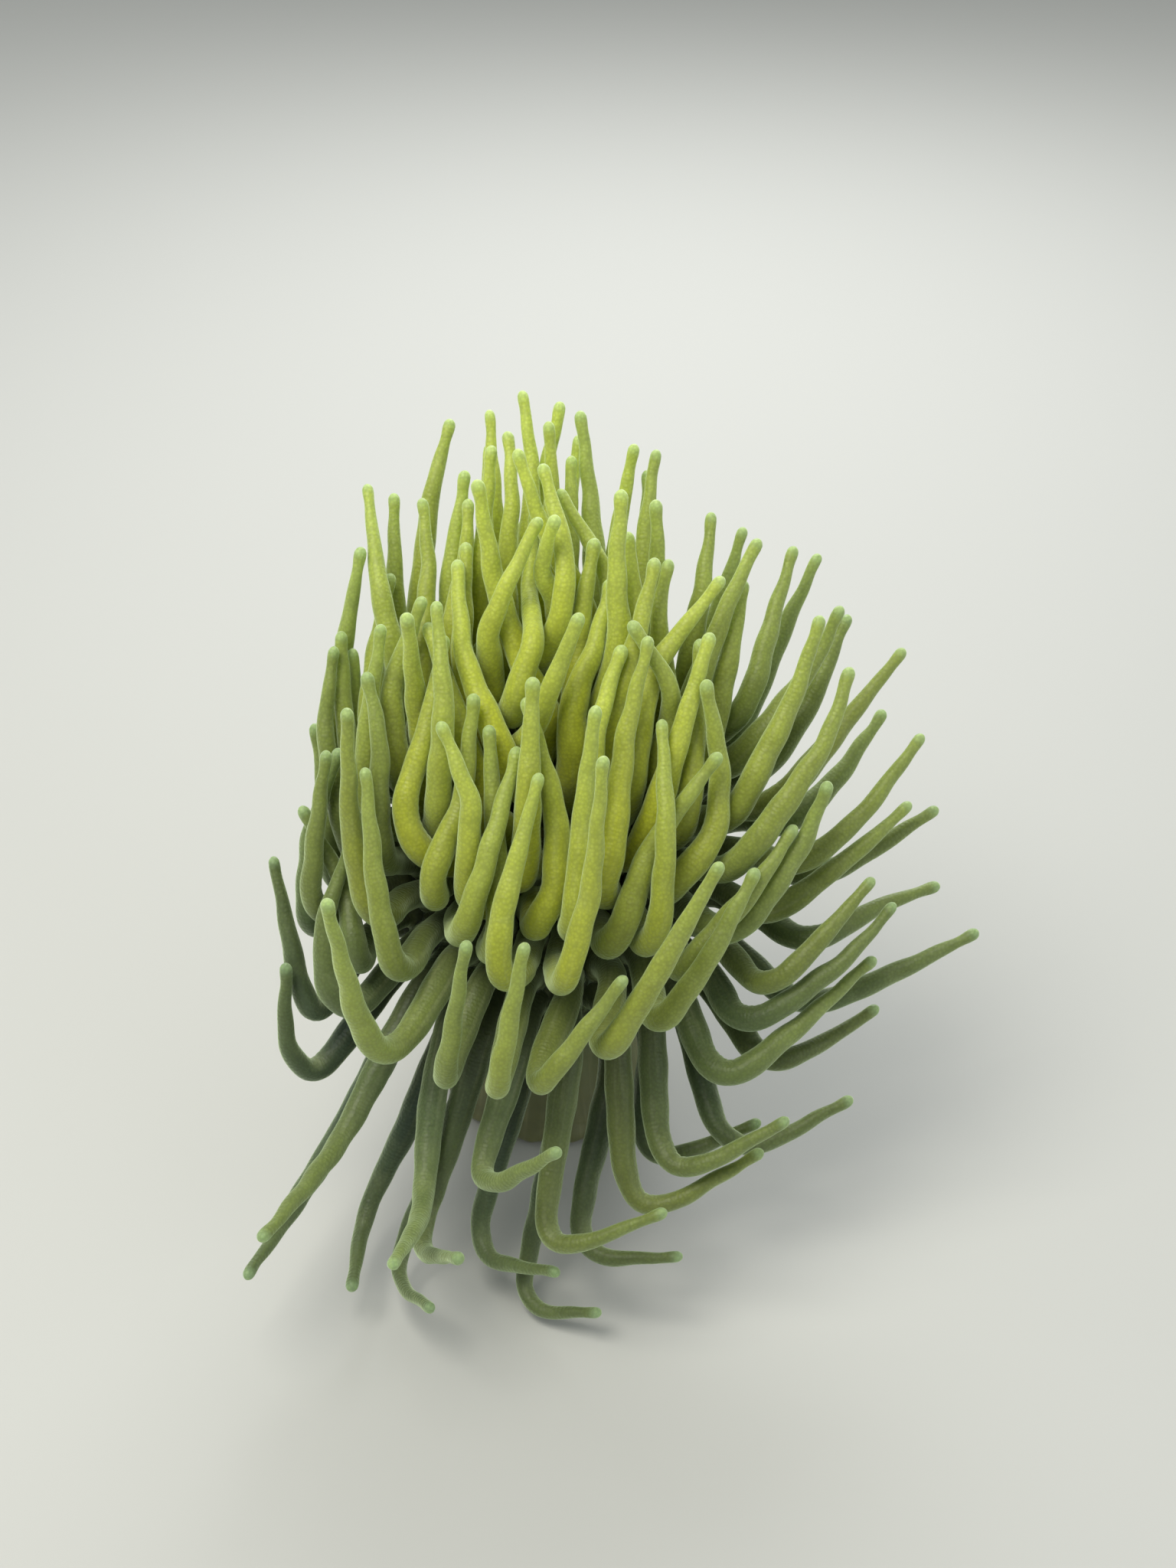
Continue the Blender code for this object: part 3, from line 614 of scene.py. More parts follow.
def tentacle_lines():
    """The tentacles' forms, and their middle lines as evenly spaced points with round bends."""
    random = np.random.default_rng(SEED + 1)
    forms = tentacle_forms()
    places = np.linspace(0, 1, LENGTH_POINTS)
    rings = [form["ring"] for form in forms]
    radii = np.array([tentacle_radius(places, ring) for ring in rings])
    lines = settled(np.array([form["line"] for form in forms]), radii)
    shares = np.array([station_shares(line) for line in lines])
    corners = np.array([between_stations(places, row) @ line for row, line in zip(shares, lines)])
    corners = tubes_clear(corners, shares, rings)
    lines = [
        rounded(np.vstack([form["line"][:1], points]), random.integers(*ROUNDINGS))
        for form, points in zip(forms, corners)
    ]
    return forms, stand_clear(np.array(lines), rings)


def through(points, places):
    """Points of a smooth curve through evenly spaced ones, at shares of its length."""
    last = len(points) - 1
    spot = np.clip(places * last, 0, last - 1e-9)
    start = spot.astype(int)
    part = (spot - start)[:, None]
    padded = np.vstack([2 * points[0] - points[1], points, 2 * points[-1] - points[-2]])
    a, b, c, d = (padded[start + step] for step in range(4))
    return b + 0.5 * part * (c - a + part * (2 * a - 5 * b + 4 * c - d + part * (3 * (b - c) + d - a)))


def carried_frames(ways):
    """Two directions across a line at each of its points, carried along it with no twist."""
    across = np.empty_like(ways)
    across[0] = unit(np.cross(ways[0], np.array([0.3, 0.2, 1.0])))
    for place in range(1, len(ways)):
        across[place] = unit(across[place - 1] - ways[place] * (across[place - 1] @ ways[place]))
    return across, np.cross(ways, across)


def bump_at(along, middle, width):
    """A soft bump, 1 at its middle."""
    return np.exp(-((along - middle) / width) ** 2)


def tentacle_radii(along, length, ring, random):
    """The skin's radius along one tentacle, with its own swellings, neck and blunt tip."""
    share = np.clip(along / length, 0, 1)
    from_tip = length - along
    radii = random.uniform(*THICKNESS_RANGE) * tentacle_radius(share, ring)
    for depth, spacing in (SLOW_SWELL, QUICK_SWELL):
        swell = np.sin(along / spacing + random.uniform(*PHASES))
        radii *= 1 + depth * swell * smooth(share / SWELLS_AFTER)
    radii *= 1 - random.uniform(*NECK_RANGE) * bump_at(from_tip, *NECK)
    radii *= 1 + TIP_SWELL[0] * bump_at(from_tip, *TIP_SWELL[1:])
    radii *= 1 + FLARE * np.exp(-np.maximum(along, 0) / FLARE_REACH)
    left = np.clip(from_tip / (TIP_LENGTH * radii[-1]), 0, 1)
    return radii * np.sqrt(np.maximum(1 - (1 - left) ** 2, LEAST_TIP ** 2))


def grid_faces(rings, sides, corner, size):
    """Quads and end fans of a closed tube, and the place of each of their corners on the skin's map."""
    grid = np.arange(rings * sides).reshape(rings, sides)
    after = np.roll(grid, -1, axis=1)
    quads = np.stack([grid[:-1], after[:-1], after[1:], grid[1:]], axis=-1).reshape(-1, 4)
    side, ring = np.meshgrid(np.arange(sides) / sides, np.arange(rings - 1) / (rings - 1))
    step, rise = 1 / sides, 1 / (rings - 1)
    quad_map = np.stack([
        np.stack([side, ring], -1), np.stack([side + step, ring], -1),
        np.stack([side + step, ring + rise], -1), np.stack([side, ring + rise], -1),
    ], axis=2).reshape(-1, 2)
    root, tip = rings * sides, rings * sides + 1
    fans, fan_map = [], []
    for place in range(sides):
        low, high = grid[0, place], grid[-1, place]
        fans += [(root, after[0, place], low), (tip, high, after[-1, place])]
        left, right = place / sides, (place + 1) / sides
        fan_map += [(left, 0), (right, 0), (left, 0), (left, 1), (left, 1), (right, 1)]
    return quads, fans, np.array(corner) + np.array(size) * np.vstack([quad_map, fan_map])


def tentacle_skin(form, line, number, random):
    """One tentacle's points, faces, map and looks, from its sunk root to its tip."""
    length = np.linalg.norm(np.diff(line, axis=0), axis=1).sum()
    tip = TIP_LENGTH * tentacle_radius(1.0, form["ring"])
    stem = np.linspace(0, length - tip, TENTACLE_RINGS - TIP_RINGS)
    dome = length - tip * (1 - np.sin(np.linspace(0, math.pi / 2, TIP_RINGS + 1)))[1:]
    along = np.concatenate([stem, dome])
    middles = through(line, along / length)
    ways = unit(np.gradient(middles, axis=0))
    aside = unit(np.cross(ways, random.normal(0, 1, 3)))
    wander = np.sin(along / WANDER[1] + random.uniform(*PHASES))
    wander *= smooth((along / length - WANDER_FROM) / WANDER_SPREAD)
    middles += WANDER[0] * wander[:, None] * aside
    ways = unit(np.gradient(middles, axis=0))
    ways[0] = form["normal"]
    sunk = np.array(ROOT_DEPTHS)
    middles = np.vstack([middles[0] - sunk[:, None] * form["normal"], middles])
    ways = np.vstack([form["normal"], form["normal"], ways])
    along = np.concatenate([-sunk, along])
    across, over = carried_frames(ways)
    radii = tentacle_radii(along, length, form["ring"], random)

    angles = 2 * math.pi * np.arange(TENTACLE_SIDES) / TENTACLE_SIDES
    cosine, sine = np.cos(angles), np.sin(angles)
    outwards = cosine[None, :, None] * across[:, None] + sine[None, :, None] * over[:, None]
    bending = np.gradient(ways, axis=0) / np.maximum(np.gradient(along), LEAST_STEP)[:, None]
    bending[:FOLD_FREE_RINGS] = 0
    folds = np.clip(FOLD_GAIN * np.einsum("rsx,rx->rs", outwards, bending) * radii[:, None], 0, 1)
    ripple = np.sin(2 * math.pi * along / FOLD_SPACING + random.uniform(*PHASES))[:, None]
    turned = 2 * angles[None, :] + along[:, None] / OVAL_RADIAN + random.uniform(*PHASES)
    oval = 1 + OVAL * np.cos(turned)
    reach = radii[:, None] * oval * (1 + FOLD_DEPTH * folds * (ripple - 1))
    skin = middles[:, None] + reach[..., None] * outwards

    tip_point = middles[-1:] + LEAST_TIP * radii[-1] * ways[-1:]
    points = np.vstack([skin.reshape(-1, 3), middles[:1], tip_point])
    column, row = number % MAP_COLUMNS, number // MAP_COLUMNS
    corner = (column / MAP_COLUMNS + MAP_EDGE, row * MAP_ROW + MAP_EDGE)
    size = (1 / MAP_COLUMNS - 2 * MAP_EDGE, MAP_ROW - 2 * MAP_EDGE)
    faces = grid_faces(len(middles), TENTACLE_SIDES, corner, size)
    place = np.zeros((len(points), 3))
    place[:-2, 0] = np.repeat(np.clip(along / length, 0, 1), TENTACLE_SIDES)
    place[:-2, 1] = np.repeat((length - along) / TO_TIP_UNIT, TENTACLE_SIDES)
    place[:-2, 2] = folds.reshape(-1)
    place[-2, 1] = length / TO_TIP_UNIT
    place[-1, 0] = 1
    around = np.zeros((len(points), 3))
    around[:-2, 0] = np.tile(cosine, len(middles))
    around[:-2, 1] = np.tile(sine, len(middles))
    around[:-2, 2] = np.repeat(along / ALONG_UNIT, TENTACLE_SIDES)
    around[-1, 2] = length / ALONG_UNIT
    return points, faces, place, around


def tentacle_tone(form, random):
    """How yellow, how hanging and how light a tentacle is, by its ring and its side of the crown. The
    yellow is partly painted light, the hanging share is painted shade, and how light is painted light and
    shade.
    """
    place = form["line"][0] - DISC_CENTRE
    azimuth = math.atan2(place @ BACK, place @ RIGHT)
    outer = form["ring"] / (len(RING_COUNTS) - 1)
    low = max(0, -math.sin(azimuth))
    back = max(0, math.sin(azimuth))
    left = max(0, -math.cos(azimuth)) * (1 - UPPER_LEFT_SPARED * back)
    side = max(0, math.cos(azimuth)) + left
    # Yellow lost low down, at the sides and at the back: partly the flesh's own colour, partly painted
    # shade
    loss = LOSS_EVERYWHERE + LOSS_LOW * low + LOSS_SIDE * side + LOSS_BACK * back
    yellow = 1 - YELLOW_LOSS * outer - SIDED_LOSS * outer ** SIDED_LOSS_POWER * loss
    # Painted shade on the outer tentacles that hang low on the crown
    hanging_shade = outer ** HANGING_POWERS[0] * max(0, -math.sin(azimuth + HANGING_TURN)) ** HANGING_POWERS[1]
    # Painted light at the back, painted shade at the sides and low down, with a random spread that is wider
    # where it hangs
    light = MIDDLE_LIGHT + outer * (BACK_LIGHT * back - SIDE_SHADE * side)
    light -= LOW_SHADE * outer ** HANGING_POWERS[0] * low
    stray = random.normal(0, TONE_STRAY, 2)
    light += (1 + hanging_shade) * random.uniform(-LIGHT_STRAY, LIGHT_STRAY)
    return np.clip([yellow + stray[0], hanging_shade + stray[1], light], 0, 1)


def column_radii(shares):
    """The column's radius, with its sizes joined by a smooth line."""
    radii = np.interp(shares, COLUMN_SHARES, COLUMN_RADII)
    for _ in range(COLUMN_SMOOTHINGS):
        radii[1:-1] = 0.5 * radii[1:-1] + 0.25 * (radii[:-2] + radii[2:])
    return radii


def foot_rings(angles):
    """The pedal disc's rings, which spread to a low frill on the floor."""
    frill = np.sin(17 * angles + 0.8 * np.sin(3 * angles)) + 0.5 * np.sin(31 * angles) - 1.5
    outwards = np.cos(angles)[:, None] * RIGHT + np.sin(angles)[:, None] * np.array([0, 1, 0])
    for across, height in FOOT_SIDE:
        reach = across * MM + 0.5 * FRILL * frill * smooth((across - FRILL_FROM) / FRILL_SPREAD)
        ring = reach[:, None] * outwards + np.array([0, 0, height * MM])
        yield ring, FOOT_RISE * height / FOOT_SIDE_HEIGHT


def column_rings(angles):
    """The column's rings, with soft lengthwise furrows and ring folds where it is drawn in."""
    furrows = np.cos(COLUMN_FURROWS * angles + 0.7 * np.sin(2 * angles))
    shares = np.linspace(0, 1, COLUMN_RINGS)
    bottom = np.array([0, 0, FOOT_HEIGHT])
    rises = np.linspace(*COLUMN_RISE, COLUMN_RINGS)
    for share, rise, radius in zip(shares, rises, column_radii(shares)):
        middle = (1 - share) ** 2 * bottom + 2 * share * (1 - share) * COLUMN_BEND
        middle = middle + share ** 2 * COLUMN_TOP
        tilt = DISC_TILT * share
        back = np.array([0, math.cos(tilt), math.sin(tilt)])
        # The relief fades out at both ends, and the folds wander a little round the column
        hold = math.sin(math.pi * share) ** 0.7
        wander = 1.5 * np.sin(2 * angles + 1) + 0.8 * np.sin(5 * angles + 6 * share)
        folds = np.sin(2 * math.pi * RING_FOLDS * share + wander)
        reach = radius + hold * (FURROW_DEPTH * furrows + RING_FOLD_DEPTH * folds)
        outwards = np.cos(angles)[:, None] * RIGHT + np.sin(angles)[:, None] * back
        yield middle + reach[:, None] * outwards, rise


def crown_rings(angles):
    """The rings from under the rolled margin, over it and across the disc, to the lips and the throat."""
    turns = np.linspace(MARGIN_UNDER, 0, ROLL_RINGS)
    for turn, rise in zip(turns, np.linspace(*MARGIN_RISE, ROLL_RINGS)):
        across, height = crown_profile(DISC_FLAT + ROLL * turn)
        crease = MARGIN_CREASE * math.sin(turn) * np.cos(COLUMN_FURROWS * angles)
        yield from_disc(*waved(across + crease, height, angles), angles), rise
    for across in np.linspace(FLAT_FROM, FLAT_UNTIL, DISC_RINGS):
        yield from_disc(*waved(across, middle_rise(across), angles), angles), MARGIN_RISE[1]
    for number, (across, height) in enumerate(LIP_SIDE):
        near = smooth((LIP_EDGE - across) / LIP_EDGE_SPREAD)
        narrow = 1 - (1 - LIP_NARROWING) * near * np.sin(angles) ** 2
        pleat = near * np.cos(2 * LIP_FOLDS * angles)
        reach = across * MM * narrow * (1 + PLEAT_REACH * pleat)
        lift = height * MM * (1 + PLEAT_LIFT * pleat)
        rise = LIP_RISE + (1 - LIP_RISE) * number / len(LIP_SIDE)
        yield from_disc(reach, middle_rise(across * MM) + lift, angles), rise


def body_skin():
    """The body's points, faces, map and looks, from the middle of its foot to its throat."""
    angles = 2 * math.pi * np.arange(BODY_SIDES) / BODY_SIDES
    rows = [*foot_rings(angles), *column_rings(angles), *crown_rings(angles)]
    rings = np.array([ring for ring, _ in rows])
    rises = np.array([rise for _, rise in rows])
    throat = rings[-1].mean(axis=0, keepdims=True) - THROAT_DEPTH * OUT
    points = np.vstack([rings.reshape(-1, 3), np.zeros((1, 3)), throat])
    corner = (MAP_EDGE, MAP_ROWS * MAP_ROW + MAP_EDGE)
    size = (1 - 2 * MAP_EDGE, 1 - MAP_ROWS * MAP_ROW - 2 * MAP_EDGE)
    faces = grid_faces(len(rings), BODY_SIDES, corner, size)
    place = np.ones((len(points), 3))
    place[:, 2] = 0
    place[:-2, 0] = np.repeat(rises, BODY_SIDES) - 1
    place[:-2, 1] = np.repeat(1 + np.clip((rises - LIP_RISE) / (1 - LIP_RISE), 0, 1), BODY_SIDES)
    place[-2:, 0] = (-1, 0)
    place[-1, 1] = 2
    along = np.cumsum(np.linalg.norm(np.diff(rings[:, 0], axis=0, prepend=rings[:1, 0]), axis=1))
    around = np.zeros((len(points), 3))
    around[:-2, 0] = np.tile(np.cos(angles), len(rings))
    around[:-2, 1] = np.tile(np.sin(angles), len(rings))
    around[:-2, 2] = np.repeat(along / ALONG_UNIT, BODY_SIDES)
    return points, faces, place, around


def skin_object(name, shape, tone, collection):
    """An object of one closed surface, with its looks kept on its points and its map on its corners.

    On a tentacle, place is the share of its length, the way to its tip and how deep in a fold. On the body
    it is the rise less 1, and 1 before the lips to 2 in the throat. The way round and the way along are
    kept in around, and the tone in tone.
    """
    points, (quads, fans, places), place, around = shape
    mesh = bpy.data.meshes.new(name)
    fans = [[int(corner) for corner in fan] for fan in fans]
    mesh.from_pydata(points.tolist(), [], quads.tolist() + fans)
    tones = np.tile(tone, (len(points), 1))
    for label, values in (("place", place), ("around", around), ("tone", tones)):
        layer = mesh.attributes.new(label, "FLOAT_VECTOR", "POINT")
        layer.data.foreach_set("vector", np.asarray(values, np.float32).reshape(-1))
    layer = mesh.uv_layers.new(name="OFBake")
    layer.uv.foreach_set("vector", np.asarray(places, np.float32).reshape(-1))
    made = bpy.data.objects.new(name, mesh)
    collection.objects.link(made)
    return made


def grown_together(body, tentacles):
    """Joins the tentacles to the body in one closed surface, and removes them."""
    union = body.modifiers.new("grown", "BOOLEAN")
    union.operation = "UNION"
    union.operand_type = "COLLECTION"
    union.collection = tentacles
    union.solver = "MANIFOLD"
    bpy.context.view_layer.update()
    graph = bpy.context.evaluated_depsgraph_get()
    joined = bpy.data.meshes.new_from_object(body.evaluated_get(graph))
    body.modifiers.remove(union)
    body.data = joined
    for piece in list(tentacles.objects):
        bpy.data.objects.remove(piece)
    bpy.data.collections.remove(tentacles)
    joined.shade_smooth()


def paint(mesh):
    """Gives the foot and the column their wall, and the crown and the tentacles their flesh."""
    mesh.materials.clear()
    mesh.materials.append(tentacle_flesh())
    mesh.materials.append(column_wall())
    place = np.empty(3 * len(mesh.vertices), np.float32)
    mesh.attributes["place"].data.foreach_get("vector", place)
    corners = np.empty(len(mesh.loops), np.int32)
    mesh.loops.foreach_get("vertex_index", corners)
    starts = np.empty(len(mesh.polygons), np.int32)
    mesh.polygons.foreach_get("loop_start", starts)
    low = place[0::3][corners[starts]] < WALL_UNTIL
    mesh.polygons.foreach_set("material_index", low.astype(np.int32))


def add_skin():
    """The whole animal as one skin."""
    random = np.random.default_rng(SEED + 2)
    home = bpy.context.scene.collection
    tentacles = bpy.data.collections.new("tentacles")
    home.children.link(tentacles)
    skin = skin_object("anemone_skin", body_skin(), BODY_TONE, home)
    for number, (form, line) in enumerate(zip(*tentacle_lines())):
        shape = tentacle_skin(form, line, number, random)
        skin_object("tentacle", shape, tentacle_tone(form, random), tentacles)
    grown_together(skin, tentacles)
    paint(skin.data)
    return skin


def new_material(name):
    """A material, with its node tree and its shader."""
    made = bpy.data.materials.new(name)
    made.use_nodes = True
    return made, made.node_tree, made.node_tree.nodes["Principled BSDF"]


def tentacle_flesh():
    """Living anemone flesh: a clear jelly wall over a green lining, with less pigment in the blunt tips.

    The jelly lets light some millimetres in, which softens every shadow and leaves a pale rim round each
    tentacle. The skin is matt and finely pebbled in rings by its stinging cells.
    """
    made, tree, shader = new_material("anemone_flesh")
    node = partial(add_node, tree)
    place = node("ShaderNodeAttribute", {"attribute_name": "place"}).outputs["Vector"]
    around = node("ShaderNodeAttribute", {"attribute_name": "around"}).outputs["Vector"]
    tone = node("ShaderNodeAttribute", {"attribute_name": "tone"}).outputs["Vector"]
    where = node("ShaderNodeSeparateXYZ", links={"Vector": place}).outputs
    tint = node("ShaderNodeSeparateXYZ", links={"Vector": tone}).outputs
    turn = node("ShaderNodeSeparateXYZ", links={"Vector": around}).outputs
    solid = node("ShaderNodeTexCoord").outputs["Object"]

    # Lining: yellow in the middle of the crown, grey green at its sides, partly its own colour and partly
    # painted light and shade. Darker as painted shade where it hangs, and yellower as painted light in the
    # outer half of every tentacle, where the light falls
    outer = node("ShaderNodeMapRange", {"interpolation_type": "SMOOTHSTEP"},
                 {"From Min": 0.3, "From Max": 0.8, "To Max": 0.14}, {"Value": where["X"]})
    yellow = node("ShaderNodeMath", {"operation": "ADD", "use_clamp": True}, links={0: outer, 1: tint["X"]})
    lining = node("ShaderNodeMix", {"data_type": "RGBA"}, {6: linear("#647E50"), 7: linear("#BABF2E")},
                  {0: yellow})
    # Painted shade on the hanging tentacles, less in their outer half
    hanging_shade = node("ShaderNodeMath", {"operation": "SUBTRACT", "use_clamp": True},
                   links={0: tint["Y"], 1: outer})
    lining = node("ShaderNodeMix", {"data_type": "RGBA"}, {7: linear("#4F6A56")}, {0: hanging_shade, 6: lining})
    root = node("ShaderNodeMapRange", {"interpolation_type": "SMOOTHSTEP"},
                {"From Min": 0.05, "From Max": 0.45, "To Min": 0.65, "To Max": 0}, {"Value": where["X"]})
    lining = node("ShaderNodeMix", {"data_type": "RGBA"}, {7: linear("#7C8A58")}, {0: root, 6: lining})

    # Lengthwise streaks 2 mm wide and 40 mm long, which fade from the root
    streaks = node("ShaderNodeVectorMath", {"operation": "MULTIPLY"}, {1: (2.2, 2.2, 0.25)}, {0: around})
    streaks = node("ShaderNodeTexNoise", values={"Scale": 1.0, "Detail": 2}, links={"Vector": streaks})
    streaks = node("ShaderNodeMapRange", {"interpolation_type": "SMOOTHSTEP"},
                   {"From Min": 0.5, "From Max": 0.72}, {"Value": streaks})
    near_root = node("ShaderNodeMapRange", {"interpolation_type": "SMOOTHSTEP"},
                     {"From Min": 0.05, "From Max": 0.5, "To Min": 0.5, "To Max": 0.1},
                     {"Value": where["X"]})
    streaks = node("ShaderNodeMath", {"operation": "MULTIPLY"}, links={0: streaks, 1: near_root})
    flesh = node("ShaderNodeMix", {"data_type": "RGBA"}, {7: linear("#BCC492")}, {0: streaks, 6: lining})

    # Paler towards the tip, where the flesh is thin
    thin = node("ShaderNodeMapRange", {"interpolation_type": "SMOOTHSTEP"},
                {"From Min": 0.3, "From Max": 1, "To Max": 0.5}, {"Value": where["X"]})
    flesh = node("ShaderNodeMix", {"data_type": "RGBA"}, {7: linear("#A8BC68")}, {0: thin, 6: flesh})

    # Painted shade towards the roots and over the margin and the disc, with clouds of pigment 9 mm wide,
    # and each tentacle's own painted light and shade from its tone, no two alike
    depth = node("ShaderNodeMapRange", {"interpolation_type": "SMOOTHSTEP"},
                 {"From Min": -0.05, "From Max": 0.38, "To Min": 0.5, "To Max": 1}, {"Value": where["X"]})
    clouds = node("ShaderNodeTexNoise", (), {"Scale": 1 / (9 * MM), "Detail": 2}, {"Vector": solid})
    clouds = node("ShaderNodeMapRange", (),
                  {"From Min": 0.3, "From Max": 0.7, "To Min": 0.9, "To Max": 1.06}, {"Value": clouds})
    light = node("ShaderNodeMapRange", values={"To Min": 0.45, "To Max": 1.20}, links={"Value": tint["Z"]})
    light = node("ShaderNodeMath", {"operation": "MULTIPLY"}, links={0: light, 1: clouds})
    light = node("ShaderNodeMath", {"operation": "MULTIPLY"}, links={0: light, 1: depth})
    flesh = node("ShaderNodeVectorMath", {"operation": "SCALE"}, links={0: flesh, "Scale": light})

    # Pale inner creases, partly the folds' own paler skin and partly a painted milky glow, and a clear blue
    # green cap that fades 5 mm from the tip
    creases = node("ShaderNodeMath", {"operation": "MULTIPLY"}, {1: 0.5}, {0: where["Z"]})
    flesh = node("ShaderNodeMix", {"data_type": "RGBA"}, {7: linear("#B4BF8C")}, {0: creases, 6: flesh})
    cap = node("ShaderNodeMapRange", {"interpolation_type": "SMOOTHSTEP"},
               {"From Min": 0.008, "From Max": 0.05, "To Min": 0.4, "To Max": 0}, {"Value": where["Y"]})
    flesh = node("ShaderNodeMix", {"data_type": "RGBA"}, {7: linear("#A9C89E")}, {0: cap, 6: flesh})

    # Lips paler towards the throat
    body = node("ShaderNodeMath", {"operation": "LESS_THAN"}, {1: -0.001}, {0: where["X"]})
    lips = node("ShaderNodeMapRange", values={"From Min": 1.0, "From Max": 2.0, "To Max": 0.6},
                links={"Value": where["Y"]})
    lips = node("ShaderNodeMath", {"operation": "MULTIPLY"}, links={0: lips, 1: body})
    flesh = node("ShaderNodeMix", {"data_type": "RGBA"}, {7: linear("#B9AE84")}, {0: lips, 6: flesh})

    # Pebbles 1.1 mm wide in rings 1.5 mm apart. The real ones are half as wide and would not show
    pebbles = node("ShaderNodeTexVoronoi", {"feature": "F1"}, {"Scale": 1 / (1.1 * MM)},
                   {"Vector": solid}).outputs["Distance"]
    rings = node("ShaderNodeTexNoise", (), {"Scale": 1 / (4 * MM), "Detail": 1}, {"Vector": solid})
    rings = node("ShaderNodeMath", {"operation": "MULTIPLY_ADD"}, {1: 0.16}, {0: rings, 2: turn["Z"]})
    rings = node("ShaderNodeMath", {"operation": "MULTIPLY"}, {1: 2 * math.pi * ALONG_UNIT / (1.5 * MM)},
                 {0: rings})
    rings = node("ShaderNodeMath", {"operation": "SINE"}, links={0: rings})
    height = node("ShaderNodeMath", {"operation": "MULTIPLY_ADD"}, {1: 0.16}, {0: rings, 2: pebbles})
    bump = node("ShaderNodeBump", (), {"Strength": 0.45, "Distance": 0.3 * MM}, {"Height": height})
    stipple = node("ShaderNodeMapRange", (),
                   {"From Min": 0.1, "From Max": 0.7, "To Min": 1.1, "To Max": 0.86}, {"Value": pebbles})
    flesh = node("ShaderNodeVectorMath", {"operation": "SCALE"}, links={0: flesh, "Scale": stipple})

    tree.links.new(flesh.outputs[0], shader.inputs["Base Color"])
    tree.links.new(bump.outputs[0], shader.inputs["Normal"])
    shader.inputs["Roughness"].default_value = 0.46
    shader.inputs["Specular IOR Level"].default_value = 0.35
    shader.inputs["Subsurface Weight"].default_value = 1.0
    shader.inputs["Subsurface Radius"].default_value = (1.0, 1.0, 0.6)
    shader.inputs["Subsurface Scale"].default_value = 6 * MM
    shader.inputs["Sheen Weight"].default_value = 1.0
    shader.inputs["Sheen Roughness"].default_value = 0.45
    shader.inputs["Sheen Tint"].default_value = linear("#DDF2C4")
    return made


def column_wall():
    """The column's wall: thicker and duller than a tentacle's, drawn in by lengthwise muscles."""
    made, tree, shader = new_material("anemone_column_wall")
    node = partial(add_node, tree)
    place = node("ShaderNodeAttribute", {"attribute_name": "place"}).outputs["Vector"]
    around = node("ShaderNodeAttribute", {"attribute_name": "around"}).outputs["Vector"]
    where = node("ShaderNodeSeparateXYZ", links={"Vector": place}).outputs
    solid = node("ShaderNodeTexCoord").outputs["Object"]

    # Brown olive at the foot, green at the top like the crown's underside, with pale lines 2.5 mm wide
    rise = node("ShaderNodeMapRange", {"interpolation_type": "SMOOTHSTEP"},
                {"From Min": -0.95, "From Max": WALL_UNTIL}, {"Value": where["X"]})
    wall = node("ShaderNodeMix", {"data_type": "RGBA"}, {6: linear("#747650"), 7: linear("#66774B")},
                {0: rise})
    lines = node("ShaderNodeVectorMath", {"operation": "MULTIPLY"}, {1: (15, 15, 0.25)}, {0: around})
    lines = node("ShaderNodeTexNoise", values={"Scale": 1.0, "Detail": 3}, links={"Vector": lines})
    lines = node("ShaderNodeMapRange", {"interpolation_type": "SMOOTHSTEP"},
                 {"From Min": 0.48, "From Max": 0.70, "To Max": 0.28}, {"Value": lines})
    wall = node("ShaderNodeMix", {"data_type": "RGBA"}, {7: linear("#A3A67C")}, {0: lines, 6: wall})
    clouds = node("ShaderNodeTexNoise", (), {"Scale": 1 / (12 * MM), "Detail": 3}, {"Vector": solid})
    clouds = node("ShaderNodeMapRange", (),
                  {"From Min": 0.3, "From Max": 0.7, "To Min": 0.82, "To Max": 1.1}, {"Value": clouds})
    wall = node("ShaderNodeVectorMath", {"operation": "SCALE"}, links={0: wall, "Scale": clouds})

    # Soft wrinkles 2 mm wide
    wrinkles = node("ShaderNodeTexNoise", (), {"Scale": 1 / (2.2 * MM), "Detail": 3}, {"Vector": solid})
    bump = node("ShaderNodeBump", (), {"Strength": 0.4, "Distance": 0.4 * MM}, {"Height": wrinkles})
    tree.links.new(wall.outputs[0], shader.inputs["Base Color"])
    tree.links.new(bump.outputs[0], shader.inputs["Normal"])
    shader.inputs["Roughness"].default_value = 0.5
    shader.inputs["Specular IOR Level"].default_value = 0.35
    shader.inputs["Subsurface Weight"].default_value = 0.7
    shader.inputs["Subsurface Radius"].default_value = (1.0, 0.8, 0.4)
    shader.inputs["Subsurface Scale"].default_value = 3 * MM
    shader.inputs["Sheen Weight"].default_value = 0.4
    shader.inputs["Sheen Roughness"].default_value = 0.3
    return made


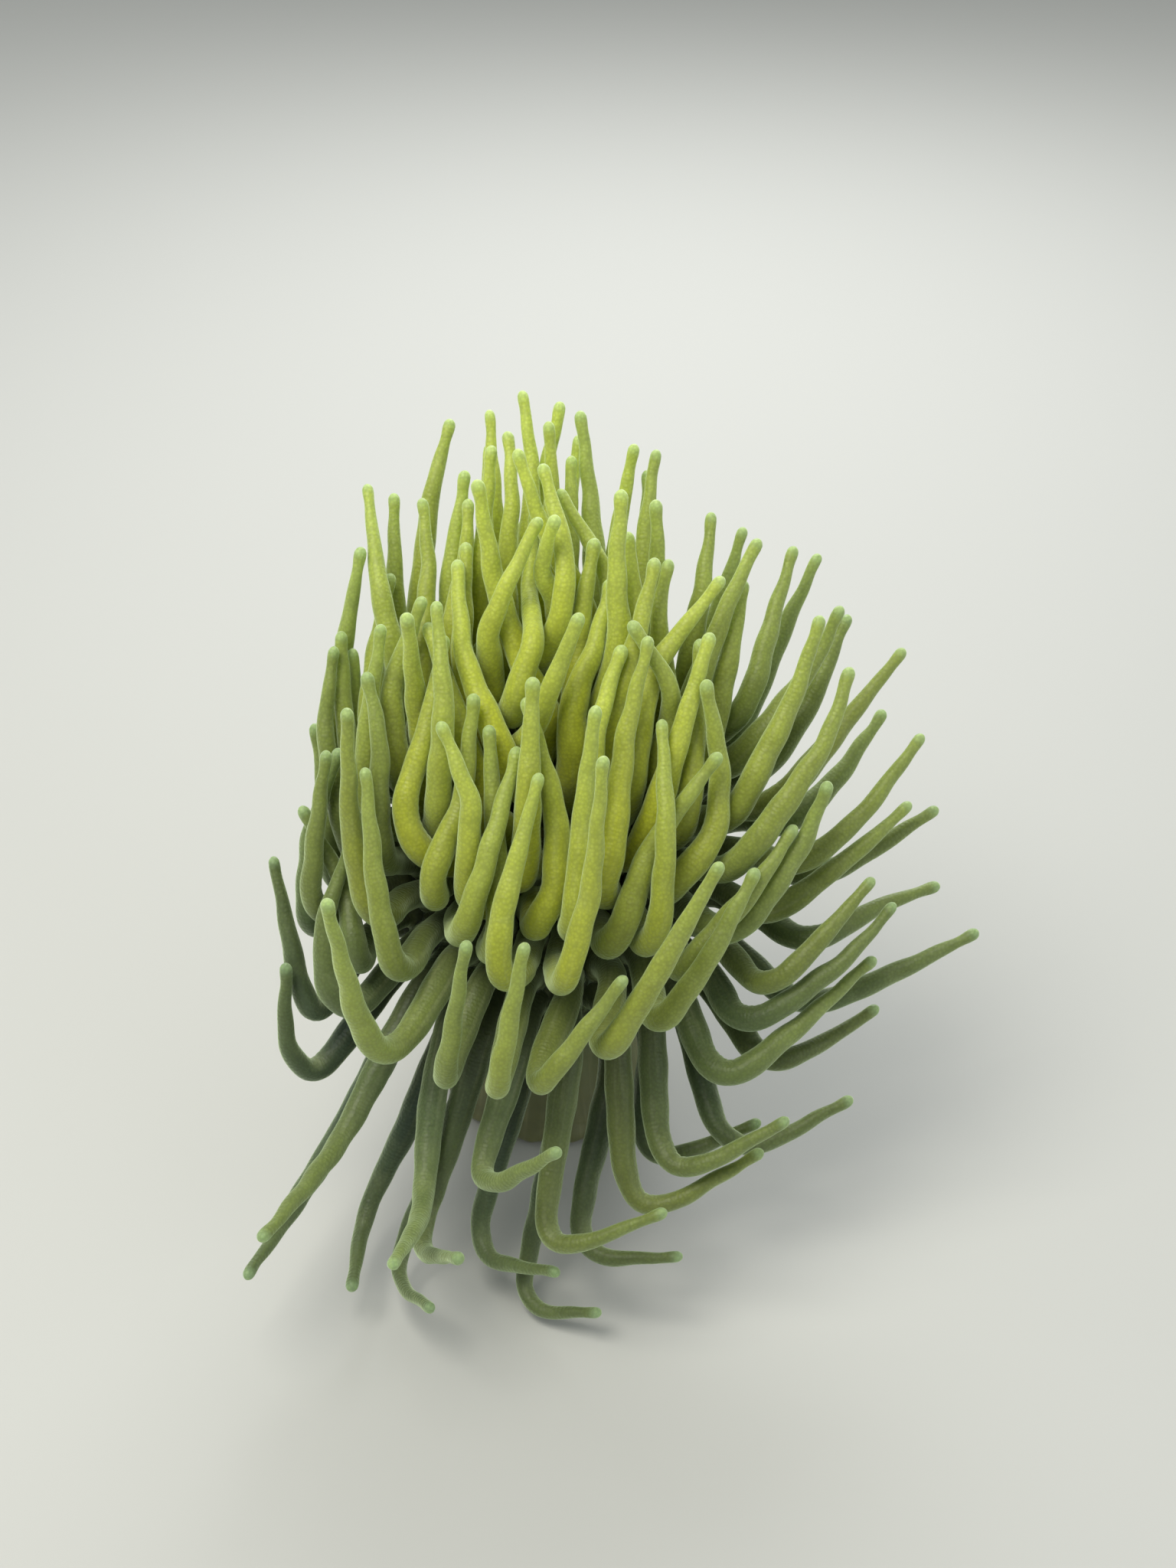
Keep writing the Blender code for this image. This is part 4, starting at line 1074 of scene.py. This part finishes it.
def add_floor():
    """A wide plain floor, painted matt."""
    corners = [(FLOOR_HALF * x, FLOOR_HALF * y, 0) for x, y in ((-1, -1), (1, -1), (1, 1), (-1, 1))]
    mesh = bpy.data.meshes.new("floor")
    mesh.from_pydata(corners, [], [(0, 1, 2, 3)])
    floor = bpy.data.objects.new("floor", mesh)
    bpy.context.scene.collection.objects.link(floor)
    coat, _, shader = new_material("matt_painted_floor")
    shader.inputs["Base Color"].default_value = linear("#C4C5C1")
    shader.inputs["Roughness"].default_value = 0.8
    mesh.materials.append(coat)


def add_lamp(name, place, size, power, colour):
    """A round soft lamp that points at the middle of the disc."""
    lamp = bpy.data.lights.new(name, "AREA")
    lamp.shape = "DISK"
    lamp.size = size
    lamp.energy = power
    lamp.color = linear(colour)[:3]
    made = bpy.data.objects.new(name, lamp)
    made.location = place
    made.rotation_euler = Vector(DISC_CENTRE - np.array(place)).to_track_quat("-Z", "Y").to_euler()
    bpy.context.scene.collection.objects.link(made)


def add_light():
    """Plain soft studio light: a pale surround and three round lamps."""
    world = bpy.context.scene.world or bpy.data.worlds.new("studio")
    bpy.context.scene.world = world
    world.use_nodes = True
    background = world.node_tree.nodes["Background"]
    background.inputs["Color"].default_value = linear("#E6EAEA")
    background.inputs["Strength"].default_value = 0.56
    add_lamp("key", (-0.40, -0.35, 1.25), 0.8, 11.5, "#FFFBF0")
    add_lamp("fill", (0.95, -0.75, 0.60), 0.9, 2, "#F2F8FF")
    add_lamp("back", (0.10, 0.95, 0.85), 0.8, 8, "#FFFFFF")


def add_camera():
    """The photograph's view, from in front of the animal and looking down at VIEW_TILT."""
    camera = bpy.data.cameras.new("camera")
    camera.sensor_width = SENSOR
    camera.lens = SENSOR * CAMERA_DISTANCE / (METRES_PER_PIXEL * PHOTO_HEIGHT)
    made = bpy.data.objects.new("camera", camera)
    right, up, toward = VIEWER
    aside = (PHOTO_WIDTH / 2 - DISC_PIXEL[0]) * METRES_PER_PIXEL
    above = (DISC_PIXEL[1] - PHOTO_HEIGHT / 2) * METRES_PER_PIXEL
    made.location = DISC_CENTRE + aside * right + above * up + CAMERA_DISTANCE * toward
    made.rotation_euler = (math.pi / 2 - VIEW_TILT, 0, 0)
    bpy.context.scene.collection.objects.link(made)
    bpy.context.scene.camera = made


def main():
    """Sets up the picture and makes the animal."""
    bpy.context.scene.view_settings.view_transform = "Standard"
    add_camera()
    add_light()
    add_floor()
    skin = add_skin()
    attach(skin, "root")
    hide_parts(*frame["nodes"])


main()
